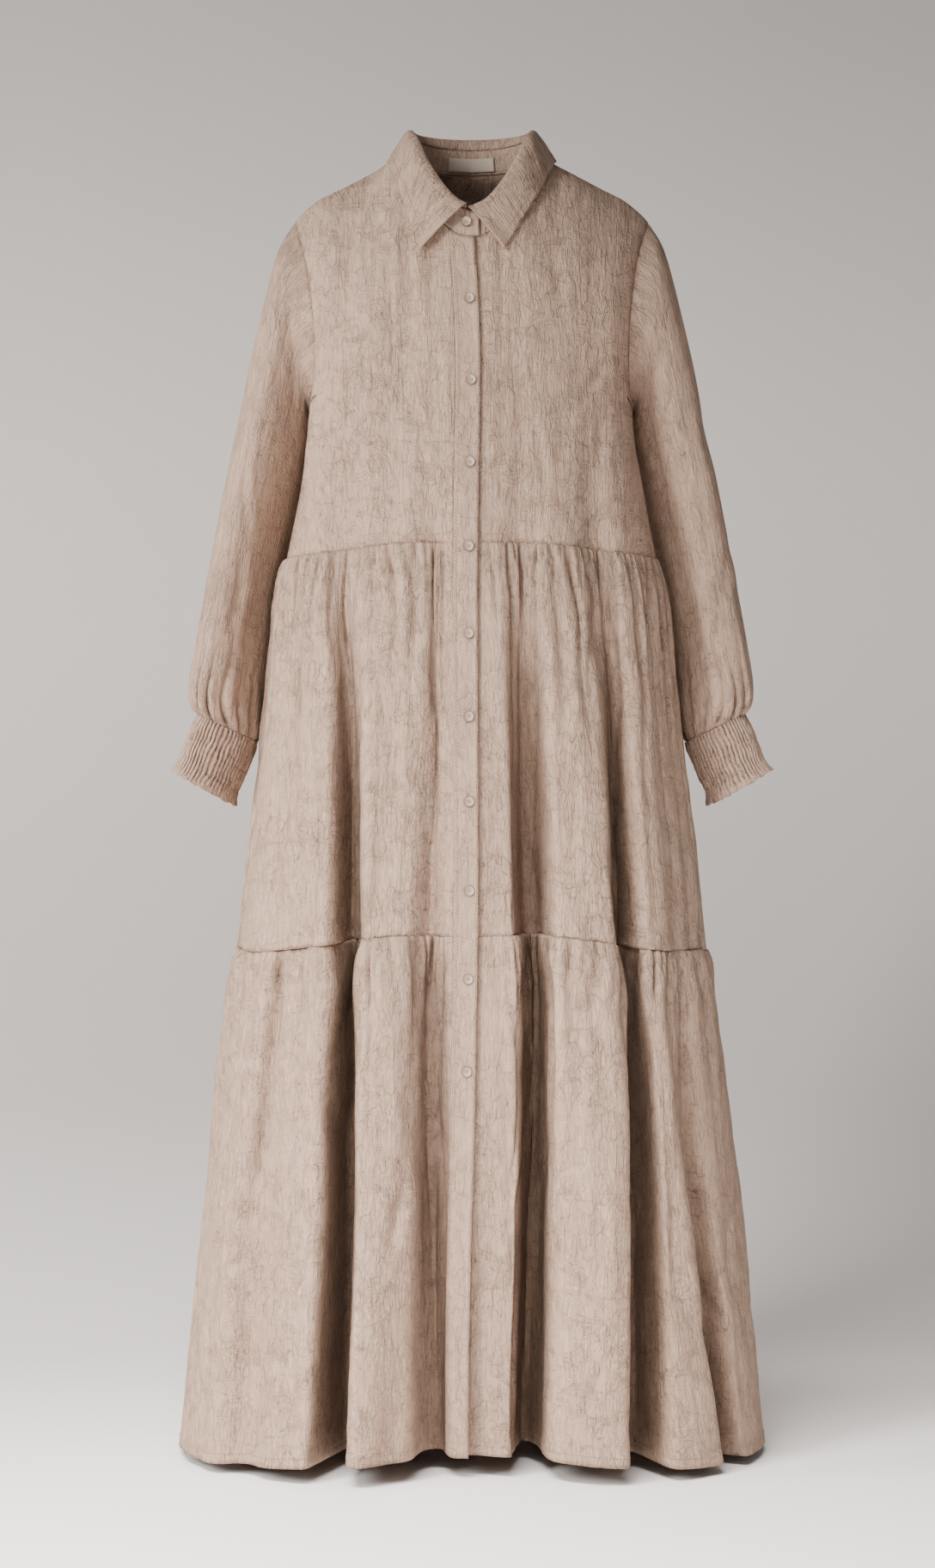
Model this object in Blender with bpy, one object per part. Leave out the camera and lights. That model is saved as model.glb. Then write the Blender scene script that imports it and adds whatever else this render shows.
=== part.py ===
"""A long-sleeved tiered linen shirt dress, hollow and open as it hangs when worn.

Metres, +Z up. The front faces -Y and the wearer's left is at +X. The origin lies midway between
the shoulders, at the height where the shoulder seams meet the collar's edge. Each cut piece of
cloth is its own wall, a seam gap from its neighbours.
"""

import math

import bmesh
import bpy
import numpy as np
from mathutils import Matrix

# ---------------------------------------------------------------- driving dimensions

CLOTH = 0.002  # thickness of every cloth wall
SEAM_GAP = 0.0003  # between two pieces that are sewn together
WAIST_SEAM = -0.420  # height of the seam under the bodice
TIER_SEAM = -0.838  # height of the seam between the two tiers
HEM = -1.388
SIDE = math.pi / 2  # angle of the side seams round the body, from the centre front

PLACKET_WIDTH = 0.0258
UNDER_LAP = 0.0032  # how far the front's under layer runs in beneath the placket's edge
UNDER_INSET = 0.001  # how much narrower the hidden placket is than the outer one
UNDER_DEPTH = 0.0030  # how deep the under layer lies beneath the placket
BUTTON_RADIUS = 0.00575
BUTTON_THICKNESS = 0.0024
BUTTON_INSET = 0.0098  # from the placket's edge to the middle of a button
BUTTON_STEP = 0.004  # for measuring the cloth's slope under a button
BUTTON_TURN = 2.0  # the same round the stand, in degrees

NECK_HALF_WIDTH = 0.070
ARCH_HEIGHT = 0.150  # over this height below the shoulder seam the cloth curves over the shoulder

SHOULDER_TIP_X = 0.195
SHOULDER_TIP = -0.0565
UNDERARM = -0.265
ANGLE_STEP = 0.006  # for measuring the surface's slope
HEIGHT_STEP = 0.003
FOLD_TILT = 0.6  # how far a fold turns from straight back towards the middle of the body
FOLD_END = 0.06  # over this height a fold comes in and dies away
FOLD_POWER = 2.0  # a shallow fold's section is a bell of this power
FOLD_POWER_GAIN = 2.0  # and a fold of DEEP_FOLD or more is steeper by this power
DEEP_FOLD = 0.05
DROP_SPAN = (0.25, 0.97)  # shares of the half width between which the side drop comes in
UNDER_SPAN = (0.002, 0.045)  # past the placket's edge, where the under layer comes level
LEAST_SINE_SQUARE = 0.04  # of the sharpest bend at a seam

NECK_COLUMNS = 7
SHOULDER_COLUMNS = 5
ARMHOLE_ROWS = 8
SIDE_ROWS = 4
SLEEVE_COLUMNS = 4 * ARMHOLE_ROWS
BAND_COLUMNS = 3
FLAT_COLUMNS = 4  # the gathers die away over this many columns beside the placket
BUTTON_SEGMENTS = 14
SMOOTH_LIMIT = math.radians(50)

# ---------------------------------------------------------------- tables

# One row for each level of the body. squareness is 2 for an ellipse and more for a boxier ring,
# side_drop is how much lower the cloth hangs at the sides than at the centre.
BODY = {
    "columns": ("z", "half_width", "front", "back", "squareness", "side_drop"),
    "rows": (
        (0.060, 0.208, 0.078, 0.078, 2.5, 0.0),
        (0.000, 0.204, 0.088, 0.090, 2.5, 0.0),
        (-0.085, 0.196, 0.102, 0.104, 2.5, 0.0),
        (-0.160, 0.186, 0.114, 0.112, 2.5, 0.0),
        (-0.265, 0.1765, 0.124, 0.112, 2.4, 0.002),
        (-0.340, 0.187, 0.128, 0.117, 2.4, 0.006),
        (-0.420, 0.2035, 0.133, 0.125, 2.3, 0.010),
        (-0.480, 0.212, 0.141, 0.131, 2.3, 0.012),
        (-0.570, 0.223, 0.151, 0.139, 2.3, 0.015),
        (-0.700, 0.240, 0.163, 0.151, 2.3, 0.018),
        (-0.840, 0.2575, 0.177, 0.165, 2.2, 0.020),
        (-0.930, 0.2715, 0.187, 0.174, 2.2, 0.019),
        (-1.080, 0.2895, 0.197, 0.185, 2.2, 0.017),
        (-1.235, 0.3055, 0.206, 0.194, 2.2, 0.015),
        (-1.400, 0.3215, 0.213, 0.202, 2.2, 0.013),
    ),
}

# The shoulder seam's height at each distance from the centre.
SHOULDER = {
    "columns": ("x", "height"),
    "rows": (
        (0.000, 0.044),
        (0.040, 0.034),
        (0.070, 0.0185),
        (0.100, 0.0025),
        (0.140, -0.0185),
        (0.175, -0.0375),
        (0.195, -0.0565),
        (0.215, -0.0850),
    ),
}

# The armhole's distance from the centre at each height.
ARMHOLE = {
    "columns": ("z", "x"),
    "rows": (
        (-0.0565, 0.1950),
        (-0.095, 0.1835),
        (-0.145, 0.1750),
        (-0.200, 0.1715),
        (-0.240, 0.1730),
        (-0.265, 0.1765),
    ),
}

# The long folds that run down the body. across is x on the front and the back and y on the
# sides, depth is how far in the fold goes and half_width its half width at half depth.
FOLD_COLUMNS = ("z", "across", "depth", "half_width")
FOLDS = (
    ("front", (
        (-0.08, -0.132, 0.002, 0.014),
        (-0.28, -0.131, 0.005, 0.017),
        (-0.42, -0.138, 0.010, 0.018),
        (-0.60, -0.134, 0.034, 0.017),
        (-0.84, -0.134, 0.058, 0.016),
        (-1.08, -0.140, 0.082, 0.015),
        (-1.40, -0.150, 0.105, 0.017),
    )),
    ("front", (
        (-0.10, -0.044, 0.003, 0.013),
        (-0.28, -0.043, 0.006, 0.016),
        (-0.42, -0.042, 0.008, 0.016),
        (-0.60, -0.040, 0.012, 0.014),
        (-0.84, -0.045, 0.020, 0.014),
        (-1.08, -0.044, 0.036, 0.015),
        (-1.40, -0.045, 0.050, 0.017),
    )),
    ("front", (
        (-0.10, 0.044, 0.002, 0.013),
        (-0.28, 0.049, 0.006, 0.016),
        (-0.42, 0.052, 0.010, 0.016),
        (-0.60, 0.061, 0.036, 0.016),
        (-0.84, 0.069, 0.058, 0.015),
        (-1.08, 0.072, 0.076, 0.015),
        (-1.40, 0.068, 0.095, 0.017),
    )),
    ("front", (
        (-0.10, 0.135, 0.002, 0.014),
        (-0.28, 0.128, 0.005, 0.017),
        (-0.42, 0.134, 0.012, 0.016),
        (-0.60, 0.155, 0.034, 0.014),
        (-0.84, 0.171, 0.052, 0.014),
        (-1.08, 0.183, 0.066, 0.015),
        (-1.40, 0.190, 0.082, 0.018),
    )),
    ("front", (
        (-0.44, -0.186, 0.003, 0.010),
        (-0.60, -0.190, 0.010, 0.013),
        (-0.84, -0.205, 0.010, 0.014),
        (-1.08, -0.221, 0.014, 0.018),
        (-1.40, -0.250, 0.016, 0.022),
    )),
    ("front", (
        (-0.42, 0.176, 0.000, 0.012),
        (-0.60, 0.195, 0.002, 0.012),
        (-0.84, 0.222, 0.006, 0.012),
        (-1.08, 0.240, 0.022, 0.013),
        (-1.40, 0.285, 0.048, 0.015),
    )),
    ("front", (
        (-0.42, 0.000, 0.000, 0.075),
        (-0.84, 0.008, 0.020, 0.080),
        (-1.08, 0.012, 0.038, 0.085),
        (-1.40, 0.012, 0.062, 0.090),
    )),
    ("right", (
        (-0.42, 0.050, 0.002, 0.016),
        (-0.60, 0.056, 0.018, 0.016),
        (-0.84, 0.066, 0.036, 0.016),
        (-1.08, 0.074, 0.054, 0.017),
        (-1.40, 0.084, 0.072, 0.019),
    )),
    ("left", (
        (-0.42, 0.052, 0.002, 0.016),
        (-0.60, 0.058, 0.020, 0.016),
        (-0.84, 0.064, 0.040, 0.016),
        (-1.08, 0.070, 0.058, 0.017),
        (-1.40, 0.078, 0.076, 0.019),
    )),
    ("back", (
        (-0.15, 0.125, 0.002, 0.018),
        (-0.42, 0.128, 0.010, 0.018),
        (-0.60, 0.140, 0.030, 0.016),
        (-0.84, 0.152, 0.050, 0.016),
        (-1.08, 0.166, 0.070, 0.016),
        (-1.40, 0.180, 0.090, 0.018),
    )),
    ("back", (
        (-0.15, 0.040, 0.003, 0.018),
        (-0.42, 0.044, 0.012, 0.018),
        (-0.60, 0.050, 0.038, 0.016),
        (-0.84, 0.056, 0.060, 0.016),
        (-1.08, 0.060, 0.080, 0.016),
        (-1.40, 0.064, 0.100, 0.018),
    )),
    ("back", (
        (-0.15, -0.046, 0.003, 0.018),
        (-0.42, -0.048, 0.010, 0.018),
        (-0.60, -0.052, 0.032, 0.016),
        (-0.84, -0.058, 0.054, 0.016),
        (-1.08, -0.066, 0.076, 0.016),
        (-1.40, -0.072, 0.098, 0.018),
    )),
    ("back", (
        (-0.15, -0.122, 0.002, 0.018),
        (-0.42, -0.130, 0.012, 0.018),
        (-0.60, -0.142, 0.034, 0.016),
        (-0.84, -0.158, 0.052, 0.016),
        (-1.08, -0.172, 0.070, 0.016),
        (-1.40, -0.188, 0.086, 0.018),
    )),
    ("front", (
        (-0.05, -0.104, 0.004, 0.009),
        (-0.14, -0.106, 0.003, 0.010),
        (-0.20, -0.106, 0.000, 0.010),
    )),
    ("front", (
        (-0.04, -0.074, 0.002, 0.010),
        (-0.14, -0.073, 0.004, 0.011),
        (-0.28, -0.070, 0.003, 0.012),
        (-0.36, -0.068, 0.000, 0.012),
    )),
    ("front", (
        (-0.05, 0.096, 0.003, 0.010),
        (-0.18, 0.106, 0.003, 0.012),
        (-0.26, 0.112, 0.000, 0.012),
    )),
)

# The placket's free edge down the front.
PLACKET_EDGE = {
    "columns": ("z", "x"),
    "rows": (
        (-0.085, 0.0020),
        (-0.145, 0.0066),
        (-0.210, 0.0090),
        (-0.300, 0.0085),
        (-0.400, 0.0070),
        (-0.620, 0.0068),
        (-0.800, 0.0072),
        (-0.930, 0.0052),
        (-1.060, 0.0027),
        (-1.160, -0.0004),
        (-1.260, -0.0026),
        (-1.400, -0.0036),
    ),
}
BUTTON_HEIGHTS = (-0.158, -0.246, -0.334, -0.424, -0.517, -0.605, -0.695, -0.789, -0.882, -0.979)
STAND_BUTTON_X = -0.0053
BUTTON_RIM = 0.0012
BUTTON_DISH = 0.0006
LAST_BUTTON = BUTTON_HEIGHTS[-1]
HEM_LAYER_DEPTH = 0.013  # how deep the under layer lies beneath the placket at the hem

# How far the gathered cloth stands in and out, below its seam.
GATHERS = {
    "columns": ("below", "height", "puff"),
    "rows": (
        (0.000, 0.0012, 0.0000),
        (0.012, 0.0030, 0.0018),
        (0.045, 0.0026, 0.0040),
        (0.100, 0.0012, 0.0045),
        (0.200, 0.0002, 0.0030),
        (0.320, 0.0000, 0.0010),
    ),
}
MIDDLE_ROWS = (0.0, 0.014, 0.050, 0.120, 0.250, 0.418)
LOWER_ROWS = (0.0, 0.014, 0.050, 0.120, 0.240, 0.390, 0.550)

# Columns of cloth between the folds, in order from the placket round by the wearer's left, the
# back and the wearer's right. Every number is even, because two columns make one gather.
MIDDLE_COLUMNS = (6, 10, 6, 10, 6, 12, 10, 10, 10, 12, 6, 16, 10, 4)
LOWER_COLUMNS = (8, 14, 8, 6, 6, 14, 12, 12, 12, 14, 6, 14, 10, 4)
SIDE_MARKS = (4, 11)  # how many of these spans end at each side seam

# The sleeve's sections below the armhole, for one arm. The outer line follows the outside of the
# arm, and the inner line lies against the body, inner_clear from its side.
SLEEVE = {
    "columns": ("outer_x", "outer_z", "outer_y", "inner_z", "inner_y", "inner_clear", "half_depth"),
    "rows": (
        (0.2140, -0.094, 0.000, -0.2670, 0.000, 0.0090, 0.058),
        (0.2385, -0.190, 0.001, -0.2900, 0.026, 0.0080, 0.066),
        (0.2515, -0.250, 0.003, -0.3160, 0.050, 0.0045, 0.067),
        (0.2690, -0.334, 0.006, -0.3720, 0.064, 0.0010, 0.067),
        (0.2850, -0.418, 0.005, -0.4460, 0.070, 0.0020, 0.067),
        (0.2940, -0.470, 0.001, -0.4940, 0.070, 0.0030, 0.066),
        (0.3020, -0.520, -0.005, -0.5400, 0.068, 0.0030, 0.063),
        (0.3075, -0.563, -0.012, -0.5820, 0.060, 0.0040, 0.058),
        (0.3065, -0.586, -0.015, -0.6120, 0.046, 0.0060, 0.049),
        (0.3000, -0.5985, -0.014, -0.6290, 0.028, 0.0090, 0.034),
    ),
}
SLEEVE_GATHERS = {
    "columns": ("below", "height"),
    "rows": ((0.000, 0.0012), (0.014, 0.0034), (0.045, 0.0040), (0.100, 0.0024), (0.190, 0.0)),
}

# The cuff's sections: how far along it they lie, and how its pleats and ruffled end spread.
CUFF = {
    "columns": ("along", "grow", "pleat"),
    "rows": (
        (0.000, 1.00, 0.0012),
        (0.012, 1.03, 0.0014),
        (0.036, 1.04, 0.0015),
        (0.062, 1.03, 0.0014),
        (0.074, 1.14, 0.0032),
    ),
}
CUFF_END_SHIFT = (0.0265, -0.010, -0.0665)  # from the cuff's seam to its end, outwards, across, up
CUFF_END_TILT = 0.04  # by this part of its length the cuff is shorter outside and longer inside
SLEEVE_SQUARENESS = 2.25
ARMHOLE_EASE = 0.0008  # the sleeve's extra distance from the armhole, where it turns over it

# The sleeve's long folds. at and half_width are in degrees round it, from its outer side by the
# front, and top and bottom are the heights of its outer line between which the fold runs.
SLEEVE_FOLD_END = 0.08
SLEEVE_FOLD_COLUMNS = ("at", "top", "bottom", "depth", "half_width")
SLEEVE_FOLDS = {
    "right": (
        (52, -0.10, -0.56, 0.007, 15),
        (112, -0.08, -0.60, 0.011, 16),
        (250, -0.10, -0.58, 0.009, 17),
    ),
    "left": (
        (58, -0.14, -0.60, 0.008, 15),
        (118, -0.08, -0.58, 0.012, 16),
        (245, -0.10, -0.58, 0.009, 17),
    ),
}

# The collar, by the angle from the centre front: the neck seam, the top of the stand and the roll.
COLLAR = {
    "columns": ("angle", "seam_z", "top_z", "roll_z"),
    "rows": (
        (0, -0.0905, -0.0615, -0.0562),
        (15, -0.0850, -0.0530, -0.0462),
        (30, -0.0690, -0.0350, -0.0260),
        (45, -0.0450, -0.0130, -0.0010),
        (60, -0.0200, 0.0120, 0.0260),
        (75, 0.0030, 0.0280, 0.0390),
        (90, 0.0185, 0.0370, 0.0450),
        (120, 0.0110, 0.0370, 0.0465),
        (150, 0.0070, 0.0360, 0.0475),
        (180, 0.0060, 0.0355, 0.0480),
    ),
}
NECK_RING_WIDTH = 0.0635  # half width of the stand at its top
NECK_RING_FRONT = -0.0960  # y of the stand at the centre front
NECK_RING_BACK = 0.0620
NECK_MIDDLE_Y = -0.017
STAND_OVERLAP = 7.0  # degrees by which the stand's ends pass the centre front
STAND_CORNER = (0.35, 0.25)  # shares by which the stand's top front corner is cut down and in
NECK_STEP = 0.002  # for measuring the shoulder's slope at the neck
LEAF_START = {"right": 4.5, "left": -3.0}  # degrees from the centre front to the leaf's fronts
ROLL_WIDTH = 0.0034  # how far out of the stand the leaf rolls over
ROLL_RISE = 0.0006

# The leaf's outer edge, by the same angle, on each side. It lies lift outside the body.
LEAF_EDGE = {
    "columns": ("angle", "right_x", "left_x", "z", "lift"),
    "rows": (
        (0, 0.0555, 0.0360, -0.1050, 0.0045),
        (20, 0.0625, 0.0480, -0.0830, 0.0050),
        (40, 0.0715, 0.0640, -0.0540, 0.0055),
        (60, 0.0820, 0.0790, -0.0245, 0.0055),
        (90, 0.0945, 0.0945, 0.0052, 0.0055),
        (120, 0.0820, 0.0820, 0.0010, 0.0070),
        (150, 0.0480, 0.0480, -0.0030, 0.0075),
        (180, 0.0000, 0.0000, -0.0050, 0.0075),
    ),
}

LEAF_STEPS = (0.0, 0.3, 0.65, 1.0)
LEAF_TILT = 0.25  # how far the lift turns upwards at the front and the back
LEAF_TOP = (60.0, 90.0, 125.0)  # table angles between which the leaf lifts straight up, on top
ROLL_PULL = 0.22  # how far the leaf runs outwards from its roll, as a share of its width
EDGE_PULL = 0.35  # and how far back from its edge, and off the cloth, it starts to lie down
EDGE_LIFT = 0.10
LABEL_WIDTH = 0.049
LABEL_HEIGHT = 0.016
LABEL_THICKNESS = 0.001
LABEL_RISE = 0.003  # from the stand's seam to the label's lower edge

LINEN = (0.62, 0.51, 0.43)
BUTTON_COLOUR = (0.70, 0.60, 0.51)
LABEL_COLOUR = (0.72, 0.67, 0.60)


# ---------------------------------------------------------------- reading the tables


def read(table, column, at):
    """A column of a table at some values of its first column, on a smooth curve through its rows."""
    rows = np.array(table["rows"], float)
    rows = rows[np.argsort(rows[:, 0])]
    x, y = rows[:, 0], rows[:, table["columns"].index(column)]
    slope = np.gradient(y, x)
    at = np.clip(np.asarray(at, float), x[0], x[-1])
    i = np.clip(np.searchsorted(x, at, side="right") - 1, 0, len(x) - 2)
    step = x[i + 1] - x[i]
    t = (at - x[i]) / step
    return (
        (1 + 2 * t) * (1 - t) ** 2 * y[i]
        + t * (1 - t) ** 2 * step * slope[i]
        + t**2 * (3 - 2 * t) * y[i + 1]
        + t**2 * (t - 1) * step * slope[i + 1]
    )


def ease(low, high, value):
    """0 below low, 1 above high and a smooth step between."""
    t = np.clip((np.asarray(value, float) - low) / (high - low), 0.0, 1.0)
    return t * t * (3.0 - 2.0 * t)


# ---------------------------------------------------------------- the body's surface


def hull(angle, z):
    """x and y of the body without folds, and its outward direction in plan."""
    half, power = read(BODY, "half_width", z), read(BODY, "squareness", z)
    s, c = np.sin(angle), np.cos(angle)
    depth = np.where(c > 0, read(BODY, "front", z), read(BODY, "back", z))
    sx = np.sign(s) * np.abs(s) ** (2 / power)
    cy = np.sign(c) * np.abs(c) ** (2 / power)
    x = half * sx
    rise = np.clip((read(SHOULDER, "height", np.abs(x)) - z) / ARCH_HEIGHT, 0.0, 1.0)
    y = -depth * cy * np.sqrt(1.0 - (1.0 - rise) ** 2)
    out_x = FOLD_TILT * np.sign(s) * np.abs(sx) ** (power - 1) / half
    out_y = -np.sign(c) * np.abs(cy) ** (power - 1) / depth
    size = np.hypot(out_x, out_y)
    return x, y, out_x / size, out_y / size


def angle_at(face, across, z):
    """The angle round the body at which its hull has this x, or this y on a side."""
    power = read(BODY, "squareness", z)
    if face in ("front", "back"):
        share = np.clip(across / read(BODY, "half_width", z), -1, 1)
        angle = np.arcsin(np.sign(share) * np.abs(share) ** (power / 2))
        return angle if face == "front" else math.pi - angle
    share = np.clip(across / read(BODY, "back", z), -1, 1)
    angle = SIDE + np.arcsin(np.sign(share) * np.abs(share) ** (power / 2))
    return angle if face == "left" else 2 * math.pi - angle


def fold_track(rows, column, z):
    return read({"columns": FOLD_COLUMNS, "rows": rows}, column, z)


def fold_fade(rows, z):
    """1 along a fold's own length and 0 past its ends."""
    heights = [row[0] for row in rows]
    top = 1.0 - ease(max(heights), max(heights) + FOLD_END, z)
    return top * ease(min(heights) - FOLD_END, min(heights), z)


def skin(angle, z):
    """Points on the body's surface, folds included, at these angles and nominal heights."""
    angle, z = np.broadcast_arrays(np.asarray(angle, float), np.asarray(z, float))
    x, y, out_x, out_y = hull(angle, z)
    inward = np.zeros_like(x)
    for face, rows in FOLDS:
        at = angle_at(face, fold_track(rows, "across", z), z)
        fold_x, fold_y, _, _ = hull(at, z)
        depth = np.maximum(fold_track(rows, "depth", z), 0.0) * fold_fade(rows, z)
        reach = np.hypot(x - fold_x, y - fold_y) / fold_track(rows, "half_width", z)
        power = FOLD_POWER + FOLD_POWER_GAIN * ease(0.0, DEEP_FOLD, depth)
        inward += depth * np.exp(-math.log(2.0) * reach**power)
    x, y = x - out_x * inward, y - out_y * inward
    share = np.abs(x) / read(BODY, "half_width", z)
    drop = read(BODY, "side_drop", z) * ease(*DROP_SPAN, share)
    return np.stack([x, y, z - drop], axis=-1)


def skin_normals(angle, z):
    """The outward normals of the body's surface."""
    across = skin(angle + ANGLE_STEP, z) - skin(angle - ANGLE_STEP, z)
    down = skin(angle, z - HEIGHT_STEP) - skin(angle, z + HEIGHT_STEP)
    return unit(np.cross(down, across))


def on_front(x, z):
    return skin(angle_at("front", x, z), z)


def under_layer(points):
    """The front's under layer: it lies beneath the placket and comes level again beside it."""
    z = points[..., 2]
    beside = points[..., 0] - read(PLACKET_EDGE, "x", z)
    opened = 1.0 - ease(HEM, LAST_BUTTON, z)
    depth = UNDER_DEPTH + (HEM_LAYER_DEPTH - UNDER_DEPTH) * opened
    depth = depth * (1.0 - ease(*UNDER_SPAN, beside)) * (points[..., 1] < 0)
    return points + depth[..., None] * np.array([0.0, 1.0, 0.0])


def normals_of(points, outward=1.0, closed=False):
    """The unit normals of a grid of points, rows down and columns across."""
    if closed:
        points = np.concatenate([points[:, -1:], points, points[:, :1]], axis=1)
    normal = outward * np.cross(np.gradient(points, axis=0), np.gradient(points, axis=1))
    normal /= np.linalg.norm(normal, axis=-1, keepdims=True)
    return normal[:, 1:-1] if closed else normal


def unit(vectors):
    return vectors / np.linalg.norm(vectors, axis=-1, keepdims=True)


def across_seam(normals, axis):
    """Normals turned square to a seam's axis, so that two walls meet there end to end."""
    axis = unit(np.array(axis, float))
    return unit(normals - (normals @ axis)[..., None] * axis)


def seam_offset(edge, way):
    """How far past an edge the next piece starts, where it bends from edge to way."""
    cosine = np.sum(edge * way, axis=-1)
    sine = np.sqrt(np.maximum(1.0 - cosine**2, LEAST_SINE_SQUARE))
    half = CLOTH / 2
    past = np.maximum(-cosine, 0.0) * (half + SEAM_GAP + half * np.abs(cosine)) / sine
    return (SEAM_GAP + half * sine + past)[..., None]


# ---------------------------------------------------------------- making objects


def material(name, colour, roughness):
    made = bpy.data.materials.get(name) or bpy.data.materials.new(name)
    made.use_nodes = True
    shader = made.node_tree.nodes["Principled BSDF"]
    shader.inputs["Base Color"].default_value = (*colour, 1.0)
    shader.inputs["Roughness"].default_value = roughness
    shader.inputs["Metallic"].default_value = 0.0
    return made


def add_object(name, mesh, finish, collection):
    mesh.materials.append(finish)
    obj = bpy.data.objects.new(name, mesh)
    collection.objects.link(obj)
    return obj


def wall(name, points, normals, finish, collection, thickness=CLOTH, closed=False):
    """A cloth wall on a grid of points: its outer and inner faces and the edges that join them."""
    rows, columns = points.shape[:2]
    outer = points + normals * thickness / 2
    inner = points - normals * thickness / 2
    build = bmesh.new()
    faces = [[[build.verts.new(p) for p in row] for row in side] for side in (outer, inner)]
    across = columns if closed else columns - 1
    for i in range(rows - 1):
        for j in range(across):
            k = (j + 1) % columns
            out, into = faces
            build.faces.new((out[i][j], out[i + 1][j], out[i + 1][k], out[i][k]))
            build.faces.new((into[i][j], into[i][k], into[i + 1][k], into[i + 1][j]))
    for i in (0, rows - 1):
        for j in range(across):
            k = (j + 1) % columns
            build.faces.new((faces[0][i][j], faces[0][i][k], faces[1][i][k], faces[1][i][j]))
    for j in () if closed else (0, columns - 1):
        for i in range(rows - 1):
            build.faces.new((faces[0][i][j], faces[0][i + 1][j], faces[1][i + 1][j], faces[1][i][j]))
    bmesh.ops.recalc_face_normals(build, faces=build.faces)
    mesh = bpy.data.meshes.new(name)
    build.to_mesh(mesh)
    build.free()
    return add_object(name, mesh, finish, collection)


def trimmed(points, first=True, last=True):
    """A grid whose first and last columns stand back from their seams by half the seam gap."""
    points = points.copy()
    for end, beside, wanted in ((0, 1, first), (-1, -2, last)):
        if wanted:
            step = points[:, beside] - points[:, end]
            step /= np.linalg.norm(step, axis=-1, keepdims=True)
            points[:, end] += step * SEAM_GAP / 2
    return points


# ---------------------------------------------------------------- the tiers


def fold_angle(number, z):
    face, rows = FOLDS[number]
    return angle_at(face, fold_track(rows, "across", z), z)


def anchors(z):
    """Angles round the body that the cloth's columns keep to: edges, folds and side seams."""
    edge = read(PLACKET_EDGE, "x", z)
    return (
        angle_at("front", edge - UNDER_LAP, z),
        fold_angle(2, z),
        fold_angle(3, z),
        fold_angle(5, z),
        SIDE,
        fold_angle(8, z),
        fold_angle(9, z),
        fold_angle(10, z),
        fold_angle(11, z),
        fold_angle(12, z),
        fold_angle(7, z),
        3 * SIDE,
        2 * math.pi + fold_angle(0, z),
        2 * math.pi + fold_angle(1, z),
        2 * math.pi + angle_at("front", edge - PLACKET_WIDTH, z),
    )


def spread_angles(marks, counts, z, samples=48):
    """Angles that share the cloth's length out evenly between each two marks."""
    found = [float(marks[0])]
    for start, end, count in zip(marks[:-1], marks[1:], counts):
        fine = np.linspace(start, end, samples)
        steps = np.linalg.norm(np.diff(skin(fine, z), axis=0), axis=1)
        length = np.concatenate([[0.0], np.cumsum(steps)])
        shares = np.linspace(0.0, length[-1], count + 1)[1:]
        found += list(np.interp(shares, length, fine))
    return np.array(found)


def tier(name, top, rows, counts, finish, collection):
    """One gathered tier, as its left front, back and right front."""
    angles = [spread_angles(anchors(top - below), counts, top - below) for below in rows]
    points = np.array([skin(turns, top - below) for turns, below in zip(angles, rows)])
    points[0, :, 2] -= SEAM_GAP / 2
    points[-1, :, 2] += SEAM_GAP / 2
    normals = normals_of(points)
    for end in (0, -1):
        normals[:, end] = skin_normals(np.array([turns[end] for turns in angles]), top - np.array(rows))
    normals[[0, -1]] = across_seam(normals[[0, -1]], (0, 0, 1))
    columns = np.arange(points.shape[1])
    near_edge = ease(0, FLAT_COLUMNS, np.minimum(columns, columns[::-1]))[None, :, None]
    way = np.where(columns % 2, 1.0, -1.0)[None, :, None]
    height = read(GATHERS, "height", rows)[:, None, None]
    puff = read(GATHERS, "puff", rows)[:, None, None]
    points = points + normals * (way * height + puff) * near_edge
    first, second = (sum(counts[:marks]) for marks in SIDE_MARKS)
    parts = (
        ("front_left", slice(0, first + 1)),
        ("back", slice(first, second + 1)),
        ("front_right", slice(second, None)),
    )
    for part, span in parts:
        panel = under_layer(points[:, span]) if part == "front_left" else points[:, span]
        wall(f"{name}_{part}", trimmed(panel), normals[:, span], finish, collection)


# ---------------------------------------------------------------- the bodice


def middle(part, z):
    """How far from the centre a bodice piece starts, on its own side."""
    if part == "front_left":
        return read(PLACKET_EDGE, "x", z) - UNDER_LAP
    if part == "front_right":
        return PLACKET_WIDTH - read(PLACKET_EDGE, "x", z)
    return np.zeros_like(np.asarray(z, float))


def body_angle(part, share_angle):
    """The angle round the body for an angle counted from the centre front or back."""
    turned = {
        "front_left": share_angle,
        "front_right": 2 * math.pi - share_angle,
        "back_left": math.pi - share_angle,
        "back_right": math.pi + share_angle,
    }
    return turned[part]


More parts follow.
